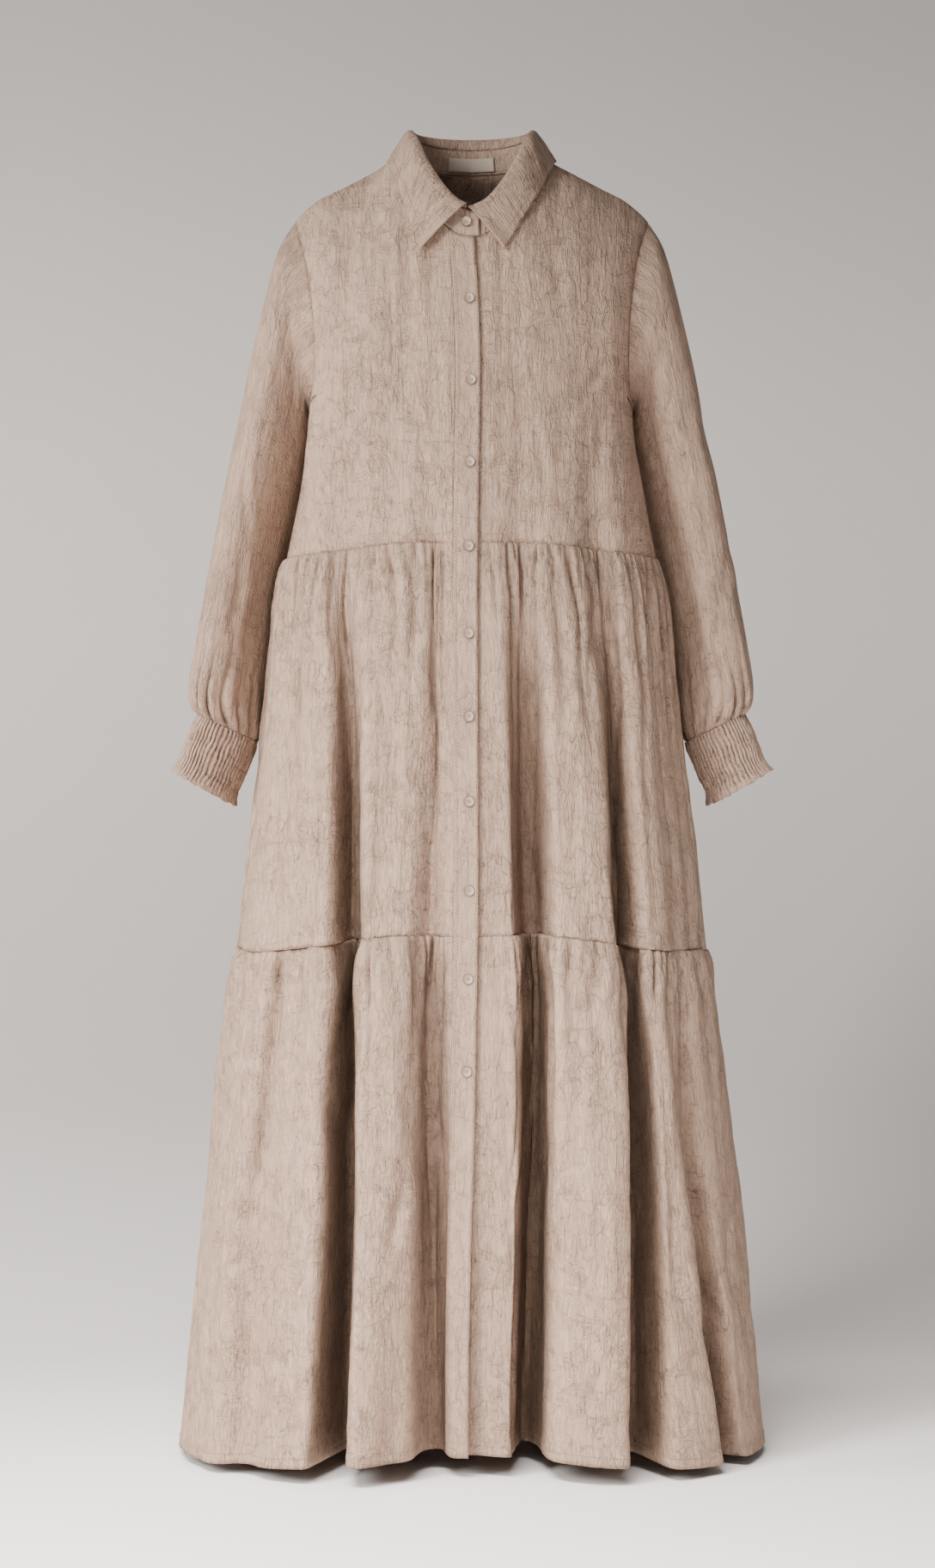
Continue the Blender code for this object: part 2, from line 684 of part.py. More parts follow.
def bodice_grid(part):
    """A bodice piece's points, from the neck and shoulder down and from the middle out."""
    front = part.startswith("front")
    top_z = float(read(COLLAR, "seam_z", 10 if front else 180))
    begin = math.asin(float(middle(part, top_z)) / NECK_HALF_WIDTH)
    theta = np.linspace(begin, math.pi / 2, NECK_COLUMNS + 1)
    around = np.degrees(np.abs(theta))
    neck_z = read(COLLAR, "seam_z", around if front else 180.0 - around)
    shoulder_x = np.linspace(NECK_HALF_WIDTH, SHOULDER_TIP_X, SHOULDER_COLUMNS + 1)[1:]
    top_x = np.concatenate([NECK_HALF_WIDTH * np.sin(theta), shoulder_x])
    top_z = np.concatenate([neck_z, read(SHOULDER, "height", shoulder_x)])
    top_angle = angle_at("front", top_x, top_z)

    turn = (1.0 - np.cos(np.linspace(0.0, math.pi, ARMHOLE_ROWS + 1))) / 2
    arm_z = SHOULDER_TIP + (UNDERARM - SHOULDER_TIP) * turn
    side_z = np.linspace(UNDERARM, WAIST_SEAM, SIDE_ROWS + 1)[1:]
    outer_z = np.concatenate([arm_z, side_z])
    outer_angle = np.full(outer_z.shape, SIDE)
    outer_angle[: ARMHOLE_ROWS] = angle_at("front", read(ARMHOLE, "x", arm_z[:-1]), arm_z[:-1])
    top_angle[-1] = outer_angle[0]

    down = ((outer_z - outer_z[0]) / (outer_z[-1] - outer_z[0]))[:, None]
    out = np.linspace(0.0, 1.0, len(top_x))[None, :]
    z = (1.0 - down) * top_z + down * WAIST_SEAM
    inner_angle = angle_at("front", middle(part, z[:, 0]), z[:, 0])
    fine = np.linspace(inner_angle[-1], SIDE, 64)
    ring = skin(body_angle(part, fine), WAIST_SEAM)
    length = np.concatenate([[0.0], np.cumsum(np.linalg.norm(np.diff(ring, axis=0), axis=1))])
    low_angle = np.interp(out[0] * length[-1], length, fine)

    angle = (1.0 - down) * top_angle + down * low_angle
    angle = angle + (1.0 - out) ** 3 * (inner_angle[:, None] - angle[:, :1])
    angle = angle + out**3 * (outer_angle[:, None] - angle[:, -1:])
    angle[:, -1] = outer_angle
    return skin(body_angle(part, angle), z)


def finish_bodice(name, points, ends, finish, collection):
    """A bodice piece's wall. ends are its neck columns and the columns at its side seams."""
    neck, sides = ends
    normals = normals_of(points)
    shoulder = np.ones(points.shape[1], bool)
    shoulder[neck] = False
    normals[0, shoulder] = across_seam(normals[0, shoulder], (0, 1, 0))
    for column in sides:
        normals[ARMHOLE_ROWS:, column] = across_seam(normals[ARMHOLE_ROWS:, column], (0, 1, 0))
    edge = {"bodice_front_left": 0, "bodice_front_right": -1}.get(name)
    if edge is not None:
        z = points[:, edge, 2]
        normals[:, edge] = skin_normals(angle_at("front", points[:, edge, 0], z), z)
    normals[-1] = across_seam(normals[-1], (0, 0, 1))
    points = points.copy()
    step = unit(points[1, shoulder] - points[0, shoulder])
    points[0, shoulder] += step * SEAM_GAP / 2
    points[-1, :, 2] += SEAM_GAP / 2
    wall(name, trimmed(points), normals, finish, collection)
    return normals


def build_bodice(finish, collection):
    """The three pieces of the bodice. Gives both armholes, as rings of points and normals."""
    left = under_layer(bodice_grid("front_left"))
    right = bodice_grid("front_right")[:, ::-1]
    back_left = bodice_grid("back_left")[:, ::-1]
    back_right = bodice_grid("back_right")
    back = np.concatenate([back_left, back_right[:, 1:]], axis=1)
    neck, shoulder = NECK_COLUMNS, SHOULDER_COLUMNS
    across = back.shape[1]
    left_normals = finish_bodice(
        "bodice_front_left", left, (slice(0, neck), (-1,)), finish, collection
    )
    right_normals = finish_bodice(
        "bodice_front_right", right, (slice(shoulder + 1, None), (0,)), finish, collection
    )
    back_ends = (slice(shoulder + 1, across - shoulder - 1), (0, -1))
    back_normals = finish_bodice("bodice_back", back, back_ends, finish, collection)
    holes = {}
    sides = (
        ("left", left[:, -1], left_normals[:, -1], back[:, 0], back_normals[:, 0]),
        ("right", right[:, 0], right_normals[:, 0], back[:, -1], back_normals[:, -1]),
    )
    for side, front, front_normal, behind, behind_normal in sides:
        rows = ARMHOLE_ROWS
        ring = np.concatenate([front[: rows + 1], behind[rows - 1 : 0 : -1]])
        normal = np.concatenate([front_normal[: rows + 1], behind_normal[rows - 1 : 0 : -1]])
        holes[side] = (ring, normal)
    return holes


# ---------------------------------------------------------------- the sleeves and cuffs


def oval(outer, inner, half_depth, turn):
    """A closed section through an outer and an inner point, as deep as half_depth each way."""
    reach = (outer - inner) / 2
    front = np.array([0.0, -half_depth, 0.0])
    c, s = np.cos(turn)[:, None], np.sin(turn)[:, None]
    power = 2 / SLEEVE_SQUARENESS
    reach = reach * np.sign(c) * np.abs(c) ** power
    return (outer + inner) / 2 + reach + front * np.sign(s) * np.abs(s) ** power


def sleeve_rings(side, turn):
    """The sleeve's sections below the armhole, folds included."""
    sign = 1.0 if side == "left" else -1.0
    rings = []
    for row in SLEEVE["rows"]:
        value = dict(zip(SLEEVE["columns"], row))
        inner_x = float(read(BODY, "half_width", value["inner_z"])) + value["inner_clear"]
        outer = np.array([sign * value["outer_x"], value["outer_y"], value["outer_z"]])
        inner = np.array([sign * inner_x, value["inner_y"], value["inner_z"]])
        ring = oval(outer, inner, value["half_depth"], turn)
        centre = ring.mean(axis=0)
        inward = np.zeros(len(turn))
        fall = -value["outer_z"]
        for row in SLEEVE_FOLDS[side]:
            fold = dict(zip(SLEEVE_FOLD_COLUMNS, row))
            away = (turn - math.radians(fold["at"]) + math.pi) % (2 * math.pi) - math.pi
            reach = np.degrees(np.abs(away)) / fold["half_width"]
            fade = ease(-fold["top"], -fold["top"] + SLEEVE_FOLD_END, fall)
            fade = fade * (1.0 - ease(-fold["bottom"] - SLEEVE_FOLD_END, -fold["bottom"], fall))
            inward += fold["depth"] * fade * np.exp(-math.log(2.0) * reach**2)
        rings.append(ring + unit(centre - ring) * inward[:, None])
    return np.array(rings)


def build_sleeve(side, hole, finish, collection):
    """A sleeve from its armhole to the cuff. Gives its last ring and that ring's normals."""
    ring, normal = hole
    count = len(ring)
    edge = unit(np.cross(normal, np.roll(ring, -1, axis=0) - np.roll(ring, 1, axis=0)))
    sign = 1.0 if side == "left" else -1.0
    if edge[0, 0] * sign < 0:
        edge = -edge
    turn = np.arange(SLEEVE_COLUMNS) * 2 * math.pi / SLEEVE_COLUMNS
    rings = sleeve_rings(side, turn)
    starts = ring + edge * (seam_offset(edge, unit(rings[0][::2] - ring)) + ARMHOLE_EASE)
    head = np.empty((2 * count, 3))
    head[::2] = starts
    head[1::2] = (starts + np.roll(starts, -1, axis=0)) / 2
    points = np.concatenate([head[None], rings])
    normals = normals_of(points, outward=-sign, closed=True)
    normals[-1] = across_seam(normals[-1], np.array(CUFF_END_SHIFT) * (sign, 1, 1))
    below = np.concatenate([[1.0], [row[1] - SLEEVE["rows"][-1][1] for row in SLEEVE["rows"]]])
    height = read(SLEEVE_GATHERS, "height", below)[:, None, None]
    way = np.where(np.arange(SLEEVE_COLUMNS) % 2, 1.0, -1.0)[None, :, None]
    plain = points.copy()
    points = points + normals * way * height
    wall(f"sleeve_{side}", points, normals, finish, collection, closed=True)
    return plain[-1], normals[-1]


def build_cuff(side, ring, normal, finish, collection):
    """A shirred cuff with a ruffled end, from the sleeve's last ring."""
    sign = 1.0 if side == "left" else -1.0
    shift = np.array(CUFF_END_SHIFT) * (sign, 1, 1)
    axis = unit(shift)
    centre = ring.mean(axis=0)
    outwards = sign * (ring[:, 0] - centre[0]) / np.max(np.abs(ring[:, 0] - centre[0]))
    length = CUFF["rows"][-1][0]
    way = np.where(np.arange(len(ring)) % 2, 1.0, -1.0)[:, None]
    rings = []
    for along, grow, pleat in CUFF["rows"]:
        share = along / length
        tilt = (CUFF_END_TILT * share * outwards)[:, None]
        spot = centre + (ring - centre) * grow + shift * share - shift * tilt
        rings.append(spot + axis * SEAM_GAP * (share == 0.0) + normal * way * pleat)
    points = np.array(rings)
    normals = np.broadcast_to(normal, points.shape).copy()
    wall(f"cuff_{side}", points, normals, finish, collection, closed=True)


# ---------------------------------------------------------------- the collar


def neck_ring(phi):
    """Points on the neck seam and the way past its edge, by the angle in degrees.

    The angle starts at the centre front and goes round by the wearer's left.
    """
    phi = np.asarray(phi, float)
    wrapped = np.minimum(np.abs(phi), np.abs(360.0 - phi))
    x = NECK_HALF_WIDTH * np.sin(np.radians(phi))
    z = read(COLLAR, "seam_z", wrapped)
    front = skin(angle_at("front", x, z), z)
    behind = skin(angle_at("back", x, z), z)
    points = np.where((wrapped <= 90.0)[:, None], front, behind)
    points = np.where((phi < 90.0)[:, None], under_layer(points), points)
    rise = np.clip((read(SHOULDER, "height", np.abs(x)) - z) / ARCH_HEIGHT, 0.0, 1.0)
    ends = (read(SHOULDER, "height", np.abs(x) + way * NECK_STEP) for way in (1, -1))
    slope = np.sign(x) * np.subtract(*ends) / (2 * NECK_STEP)
    depth = np.where(wrapped <= 90.0, read(BODY, "front", z), read(BODY, "back", z))
    fall = 2 * (1.0 - rise) / ARCH_HEIGHT
    normal = unit(np.stack([-slope * fall, 2 * points[:, 1] / depth**2, fall], axis=-1))
    edge = unit(np.cross(normal, unit(np.gradient(points, axis=0))))
    return points, edge


def stand_top(phi):
    """The stand's upper edge, by the same angle."""
    phi = np.asarray(phi, float)
    wrapped = np.minimum(np.abs(phi), np.abs(360.0 - phi))
    turn = np.radians(phi)
    depth = np.where(wrapped <= 90.0, -NECK_RING_FRONT, NECK_RING_BACK)
    x, y = NECK_RING_WIDTH * np.sin(turn), -depth * np.cos(turn)
    points = np.stack([x, y, read(COLLAR, "top_z", wrapped)], axis=-1)
    return np.where((phi < 90.0)[:, None], under_layer(points), points)


def neck_angles():
    """The stand's columns: those of the bodice's neckline, and its lapped ends."""
    level = float(read(COLLAR, "seam_z", 10))
    left = math.degrees(math.asin(float(middle("front_left", level)) / NECK_HALF_WIDTH))
    band, _ = placket_grid("front_right", PLACKET_WIDTH, 0.0)
    lapped = np.degrees(np.arcsin(band[0, :, 0] / NECK_HALF_WIDTH))
    return np.concatenate([
        [-STAND_OVERLAP],
        np.linspace(left, 90.0, NECK_COLUMNS + 1),
        np.linspace(90.0, 270.0, 2 * NECK_COLUMNS + 1)[1:],
        np.linspace(270.0, 360.0 + lapped[0], NECK_COLUMNS + 1)[1:],
        360.0 + lapped[1:],
        [360.0 + STAND_OVERLAP],
    ])


def stand_grid(phi):
    seam, edge = neck_ring(phi)
    top = stand_top(phi)
    start = seam + edge * seam_offset(edge, unit(top - seam))
    return np.array([top, (top + start) / 2, start])


def build_collar(finish, label_finish, collection):
    """The stand, the leaf that rolls over it and the bare label inside."""
    phi = neck_angles()
    stand = stand_grid(phi)
    rounded = stand.copy()
    down, into = stand[1, -1] - stand[0, -1], stand[0, -2] - stand[0, -1]
    rounded[0, -1] += down * STAND_CORNER[0] + into * STAND_CORNER[1]
    normals = normals_of(rounded)
    wall("collar_stand", rounded, normals, finish, collection)
    build_leaf(finish, collection)
    build_label(phi, stand, normals, label_finish, collection)


def build_label(phi, stand, normals, finish, collection):
    """The bare label inside the back of the stand, on the stand's own facets."""
    reach = math.degrees(math.asin(LABEL_WIDTH / 2 / NECK_RING_WIDTH))
    between = phi[(phi > 180.0 - reach) & (phi < 180.0 + reach)]
    turns = np.concatenate([[180.0 - reach], between, [180.0 + reach]])

    outward = unit(on_columns(turns, phi, normals[2]))
    low = on_columns(turns, phi, stand[2])
    rise = unit(on_columns(turns, phi, stand[0]) - low)
    lower = low + rise * LABEL_RISE
    lower -= outward * (CLOTH / 2 + SEAM_GAP + LABEL_THICKNESS / 2)
    tag = np.array([lower + rise * LABEL_HEIGHT, lower])
    both = np.array([outward, outward])
    wall("neck_label", tag, both, finish, collection, LABEL_THICKNESS)


def leaf_side(side, stand_phi):
    """One half of the leaf, from its front edge to the centre back, over the stand's columns."""
    sign = 1.0 if side == "left" else -1.0
    start = LEAF_START[side]
    turned = stand_phi if side == "left" else 360.0 - stand_phi
    ring_angle = np.concatenate([[start], np.sort(turned[(turned > start + 1) & (turned <= 180.0)])])
    phi = ring_angle if side == "left" else 360.0 - ring_angle
    seam = on_columns(phi, stand_phi, neck_ring(stand_phi)[0])
    top = on_columns(phi, stand_phi, stand_top(stand_phi))
    table_angle = (ring_angle - start) * 180.0 / (180.0 - start)
    up = unit(top - seam)
    out = unit((top - (0.0, NECK_MIDDLE_Y, 0.0)) * (1, 1, 0))
    roll = top + out * ROLL_WIDTH
    roll[:, 2] = read(COLLAR, "roll_z", ring_angle)
    x = sign * read(LEAF_EDGE, f"{side}_x", table_angle)
    z = read(LEAF_EDGE, "z", table_angle)
    ahead = (table_angle <= 90.0)[:, None]
    face = np.where(ahead, skin(angle_at("front", x, z), z), skin(angle_at("back", x, z), z))
    flat = np.where(ahead, (0.0, -1.0, LEAF_TILT), (0.0, 1.0, LEAF_TILT))
    on_top = ease(*LEAF_TOP[:2], table_angle) * (1.0 - ease(*LEAF_TOP[1:], table_angle))
    away = unit(flat * (1.0 - on_top)[:, None] + on_top[:, None] * np.array([0, 0, 1.0]))
    edge = face + away * read(LEAF_EDGE, "lift", table_angle)[:, None]
    length = np.linalg.norm(edge - roll, axis=-1, keepdims=True)
    first = roll + out * ROLL_PULL * length + np.array([0.0, 0.0, ROLL_RISE])
    second = edge + (roll - edge) * EDGE_PULL + away * EDGE_LIFT * length
    along = unit(np.gradient(top, axis=0))
    past = unit(up - np.sum(up * along, axis=-1, keepdims=True) * along)
    way = roll - top
    way = unit(way - np.sum(way * along, axis=-1, keepdims=True) * along)
    begin = top + past * seam_offset(past, way)
    rows = [begin, begin + (roll - begin) * 0.5 + up * ROLL_RISE]
    for t in LEAF_STEPS:
        rows.append(
            (1 - t) ** 3 * roll
            + 3 * t * (1 - t) ** 2 * first
            + 3 * t**2 * (1 - t) * second
            + t**3 * edge
        )
    return np.array(rows)


def on_columns(phi, known_phi, points):
    """Points at some angles on the straight facets between the known columns."""
    return np.stack([np.interp(phi, known_phi, points[:, k]) for k in range(3)], axis=-1)


def build_leaf(finish, collection):
    phi = neck_angles()
    left, right = leaf_side("left", phi), leaf_side("right", phi)
    points = np.concatenate([left, right[:, -2::-1]], axis=1)
    wall("collar_leaf", points, normals_of(points), finish, collection)


# ---------------------------------------------------------------- the plackets and buttons


def placket_levels(part):
    """The heights of a placket's rows: those of the pieces that it is sewn to."""
    bodice = bodice_grid(part)[:, 0, 2]
    middle_tier = WAIST_SEAM - np.array(MIDDLE_ROWS[1:-1])
    return np.concatenate([bodice, middle_tier, TIER_SEAM - np.array(LOWER_ROWS)])


def placket_grid(part, first_inset, last_inset):
    """A strip down the front between two distances in from the placket's free edge."""
    levels = placket_levels(part)[:, None]
    inset = np.linspace(first_inset, last_inset, BAND_COLUMNS + 1)
    top_x = read(PLACKET_EDGE, "x", levels[0]) - inset
    top_z = read(COLLAR, "seam_z", np.degrees(np.arcsin(np.abs(top_x) / NECK_HALF_WIDTH)))
    share = np.clip((levels - WAIST_SEAM) / (levels[0] - WAIST_SEAM), 0.0, 1.0)
    z = levels + share * (top_z - levels[0])
    x = read(PLACKET_EDGE, "x", z) - inset
    angle = angle_at("front", x, z)
    return skin(angle, z), skin_normals(angle, z)


def build_plackets(finish, collection):
    outer, normals = placket_grid("front_right", PLACKET_WIDTH, 0.0)
    wall("placket_right", trimmed(outer, last=False), normals, finish, collection)
    inner, normals = placket_grid("front_left", PLACKET_WIDTH - UNDER_INSET, UNDER_LAP)
    wall("placket_left", trimmed(under_layer(inner), first=False), normals, finish, collection)


def build_button(name, centre, normal, finish, collection):
    """A round button with a dished face, its middle at centre and its face along normal."""
    build = bmesh.new()
    bmesh.ops.create_cone(
        build, cap_ends=True, segments=BUTTON_SEGMENTS, radius1=BUTTON_RADIUS,
        radius2=BUTTON_RADIUS, depth=BUTTON_THICKNESS,
    )
    face = max(build.faces, key=lambda f: f.calc_center_median().z)
    bmesh.ops.inset_region(build, faces=[face], thickness=BUTTON_RIM, depth=-BUTTON_DISH)
    mesh = bpy.data.meshes.new(name)
    build.to_mesh(mesh)
    build.free()
    z = unit(np.array(normal, float))
    x = unit(np.cross((0.0, 0.0, 1.0), z))
    y = np.cross(z, x)
    button = add_object(name, mesh, finish, collection)
    button.matrix_world = matrix_of(x, y, z, centre)


def matrix_of(x, y, z, centre):
    turned = np.eye(4)
    turned[:3, 0], turned[:3, 1], turned[:3, 2], turned[:3, 3] = x, y, z, centre
    return Matrix(turned.tolist())


def build_buttons(finish, collection):
    rise = CLOTH / 2 + SEAM_GAP + BUTTON_THICKNESS / 2
    phi = 360.0 + math.degrees(math.asin(STAND_BUTTON_X / NECK_RING_WIDTH))
    stand = stand_grid(np.array([phi - BUTTON_TURN, phi, phi + BUTTON_TURN]))
    spots = [(stand[1, 1], normals_of(stand)[1, 1])]
    for z in BUTTON_HEIGHTS:
        x = float(read(PLACKET_EDGE, "x", z)) - BUTTON_INSET
        centre = on_front(x, z)
        across = on_front(x + BUTTON_STEP, z) - on_front(x - BUTTON_STEP, z)
        down = on_front(x, z - BUTTON_STEP) - on_front(x, z + BUTTON_STEP)
        spots.append((centre, unit(np.cross(down, across))))
    for number, (centre, normal) in enumerate(spots, 1):
        name = f"button_{number:02d}"
        build_button(name, centre + normal * rise, normal, finish, collection)


# ---------------------------------------------------------------- the dress


def smooth_round_edges(collection, limit):
    """Smooth shading, with edges sharper than the limit kept crisp."""
    for obj in collection.objects:
        for polygon in obj.data.polygons:
            polygon.use_smooth = True
        obj.data.set_sharp_from_angle(angle=limit)


def main():
    for obj in list(bpy.data.objects):
        bpy.data.objects.remove(obj, do_unlink=True)
    dress = bpy.data.collections.new("linen_dress")
    bpy.context.scene.collection.children.link(dress)
    linen = material("linen", LINEN, 0.9)
    shell = material("button", BUTTON_COLOUR, 0.45)
    tape = material("label", LABEL_COLOUR, 0.8)

    holes = build_bodice(linen, dress)
    tier("tier_middle", WAIST_SEAM, MIDDLE_ROWS, MIDDLE_COLUMNS, linen, dress)
    tier("tier_lower", TIER_SEAM, LOWER_ROWS, LOWER_COLUMNS, linen, dress)
    for side in ("left", "right"):
        ring, normal = build_sleeve(side, holes[side], linen, dress)
        build_cuff(side, ring, normal, linen, dress)
    build_collar(linen, tape, dress)
    build_plackets(linen, dress)
    build_buttons(shell, dress)
    smooth_round_edges(dress, SMOOTH_LIMIT)


main()
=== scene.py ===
"""The linen dress's looks: fine cloth on the solids' form, stitching, buttons, light and camera.

Metres, +Z up, front at -Y, the wearer's left at +X, as in the part's source.
"""

import math

import bmesh
import bpy
import numpy as np
from mathutils import Matrix, Vector


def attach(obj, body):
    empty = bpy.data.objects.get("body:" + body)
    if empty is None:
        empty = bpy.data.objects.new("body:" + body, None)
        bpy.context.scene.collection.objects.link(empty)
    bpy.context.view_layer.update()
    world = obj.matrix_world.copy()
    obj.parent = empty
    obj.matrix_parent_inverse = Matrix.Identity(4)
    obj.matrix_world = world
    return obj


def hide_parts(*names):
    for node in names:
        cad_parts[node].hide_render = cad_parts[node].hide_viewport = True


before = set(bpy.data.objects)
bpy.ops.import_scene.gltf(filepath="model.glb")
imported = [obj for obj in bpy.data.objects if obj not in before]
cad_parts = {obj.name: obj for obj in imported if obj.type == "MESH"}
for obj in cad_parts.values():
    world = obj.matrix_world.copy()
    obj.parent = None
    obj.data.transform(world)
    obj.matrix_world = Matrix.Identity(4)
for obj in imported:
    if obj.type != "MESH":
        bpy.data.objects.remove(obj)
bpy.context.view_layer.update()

# ---------------------------------------------------------------- driving dimensions

CLOTH = 0.002  # thickness of every cloth wall
SEAM_GAP = 0.0003  # between two pieces that are sewn together
WAIST_SEAM = -0.420  # height of the seam under the bodice
TIER_SEAM = -0.838  # height of the seam between the two tiers
HEM = -1.388
SIDE = math.pi / 2  # angle of the side seams round the body, from the centre front

PLACKET_WIDTH = 0.0258
UNDER_LAP = 0.0032  # how far the front's under layer runs in beneath the placket's edge
UNDER_INSET = 0.001  # how much narrower the hidden placket is than the outer one
UNDER_DEPTH = 0.0030  # how deep the under layer lies beneath the placket
BUTTON_THICKNESS = 0.0024
BUTTON_INSET = 0.0098  # from the placket's edge to the middle of a button
BUTTON_STEP = 0.004  # for measuring the cloth's slope under a button
BUTTON_TURN = 2.0  # the same round the stand, in degrees

NECK_HALF_WIDTH = 0.070
ARCH_HEIGHT = 0.150  # over this height below the shoulder seam the cloth curves over the shoulder

SHOULDER_TIP_X = 0.195
SHOULDER_TIP = -0.0565
UNDERARM = -0.265
FOLD_TILT = 0.6  # how far a fold turns from straight back towards the middle of the body
FOLD_END = 0.06  # over this height a fold comes in and dies away
FOLD_POWER = 2.0  # a shallow fold's section is a bell of this power
FOLD_POWER_GAIN = 2.0  # and a fold of DEEP_FOLD or more is steeper by this power
DEEP_FOLD = 0.05
DROP_SPAN = (0.25, 0.97)  # shares of the half width between which the side drop comes in
UNDER_SPAN = (0.002, 0.045)  # past the placket's edge, where the under layer comes level
LEAST_SINE_SQUARE = 0.04  # of the sharpest bend at a seam

NECK_COLUMNS = 42
SHOULDER_COLUMNS = 34
ARMHOLE_ROWS = 40
SIDE_ROWS = 26
SLEEVE_COLUMNS = 32  # round the solid's sleeve, where two columns make one gather
FLAT_COLUMNS = 4  # the gathers die away over this many columns beside the placket

# ---------------------------------------------------------------- tables

# One row for each level of the body. squareness is 2 for an ellipse and more for a boxier ring,
# side_drop is how much lower the cloth hangs at the sides than at the centre.
BODY = {
    "columns": ("z", "half_width", "front", "back", "squareness", "side_drop"),
    "rows": (
        (0.060, 0.208, 0.078, 0.078, 2.5, 0.0), (0.000, 0.204, 0.088, 0.090, 2.5, 0.0),
        (-0.085, 0.196, 0.102, 0.104, 2.5, 0.0), (-0.160, 0.186, 0.114, 0.112, 2.5, 0.0),
        (-0.265, 0.1765, 0.124, 0.112, 2.4, 0.002), (-0.340, 0.187, 0.128, 0.117, 2.4, 0.006),
        (-0.420, 0.2035, 0.133, 0.125, 2.3, 0.010), (-0.480, 0.212, 0.141, 0.131, 2.3, 0.012),
        (-0.570, 0.223, 0.151, 0.139, 2.3, 0.015), (-0.700, 0.240, 0.163, 0.151, 2.3, 0.018),
        (-0.840, 0.2575, 0.177, 0.165, 2.2, 0.020), (-0.930, 0.2715, 0.187, 0.174, 2.2, 0.019),
        (-1.080, 0.2895, 0.197, 0.185, 2.2, 0.017), (-1.235, 0.3055, 0.206, 0.194, 2.2, 0.015),
        (-1.400, 0.3215, 0.213, 0.202, 2.2, 0.013),
    ),
}

# The shoulder seam's height at each distance from the centre.
SHOULDER = {
    "columns": ("x", "height"),
    "rows": (
        (0.000, 0.044), (0.040, 0.034), (0.070, 0.0185), (0.100, 0.0025), (0.140, -0.0185),
        (0.175, -0.0375), (0.195, -0.0565), (0.215, -0.0850),
    ),
}

# The armhole's distance from the centre at each height.
ARMHOLE = {
    "columns": ("z", "x"),
    "rows": (
        (-0.0565, 0.1950), (-0.095, 0.1835), (-0.145, 0.1750), (-0.200, 0.1715), (-0.240, 0.1730),
        (-0.265, 0.1765),
    ),
}

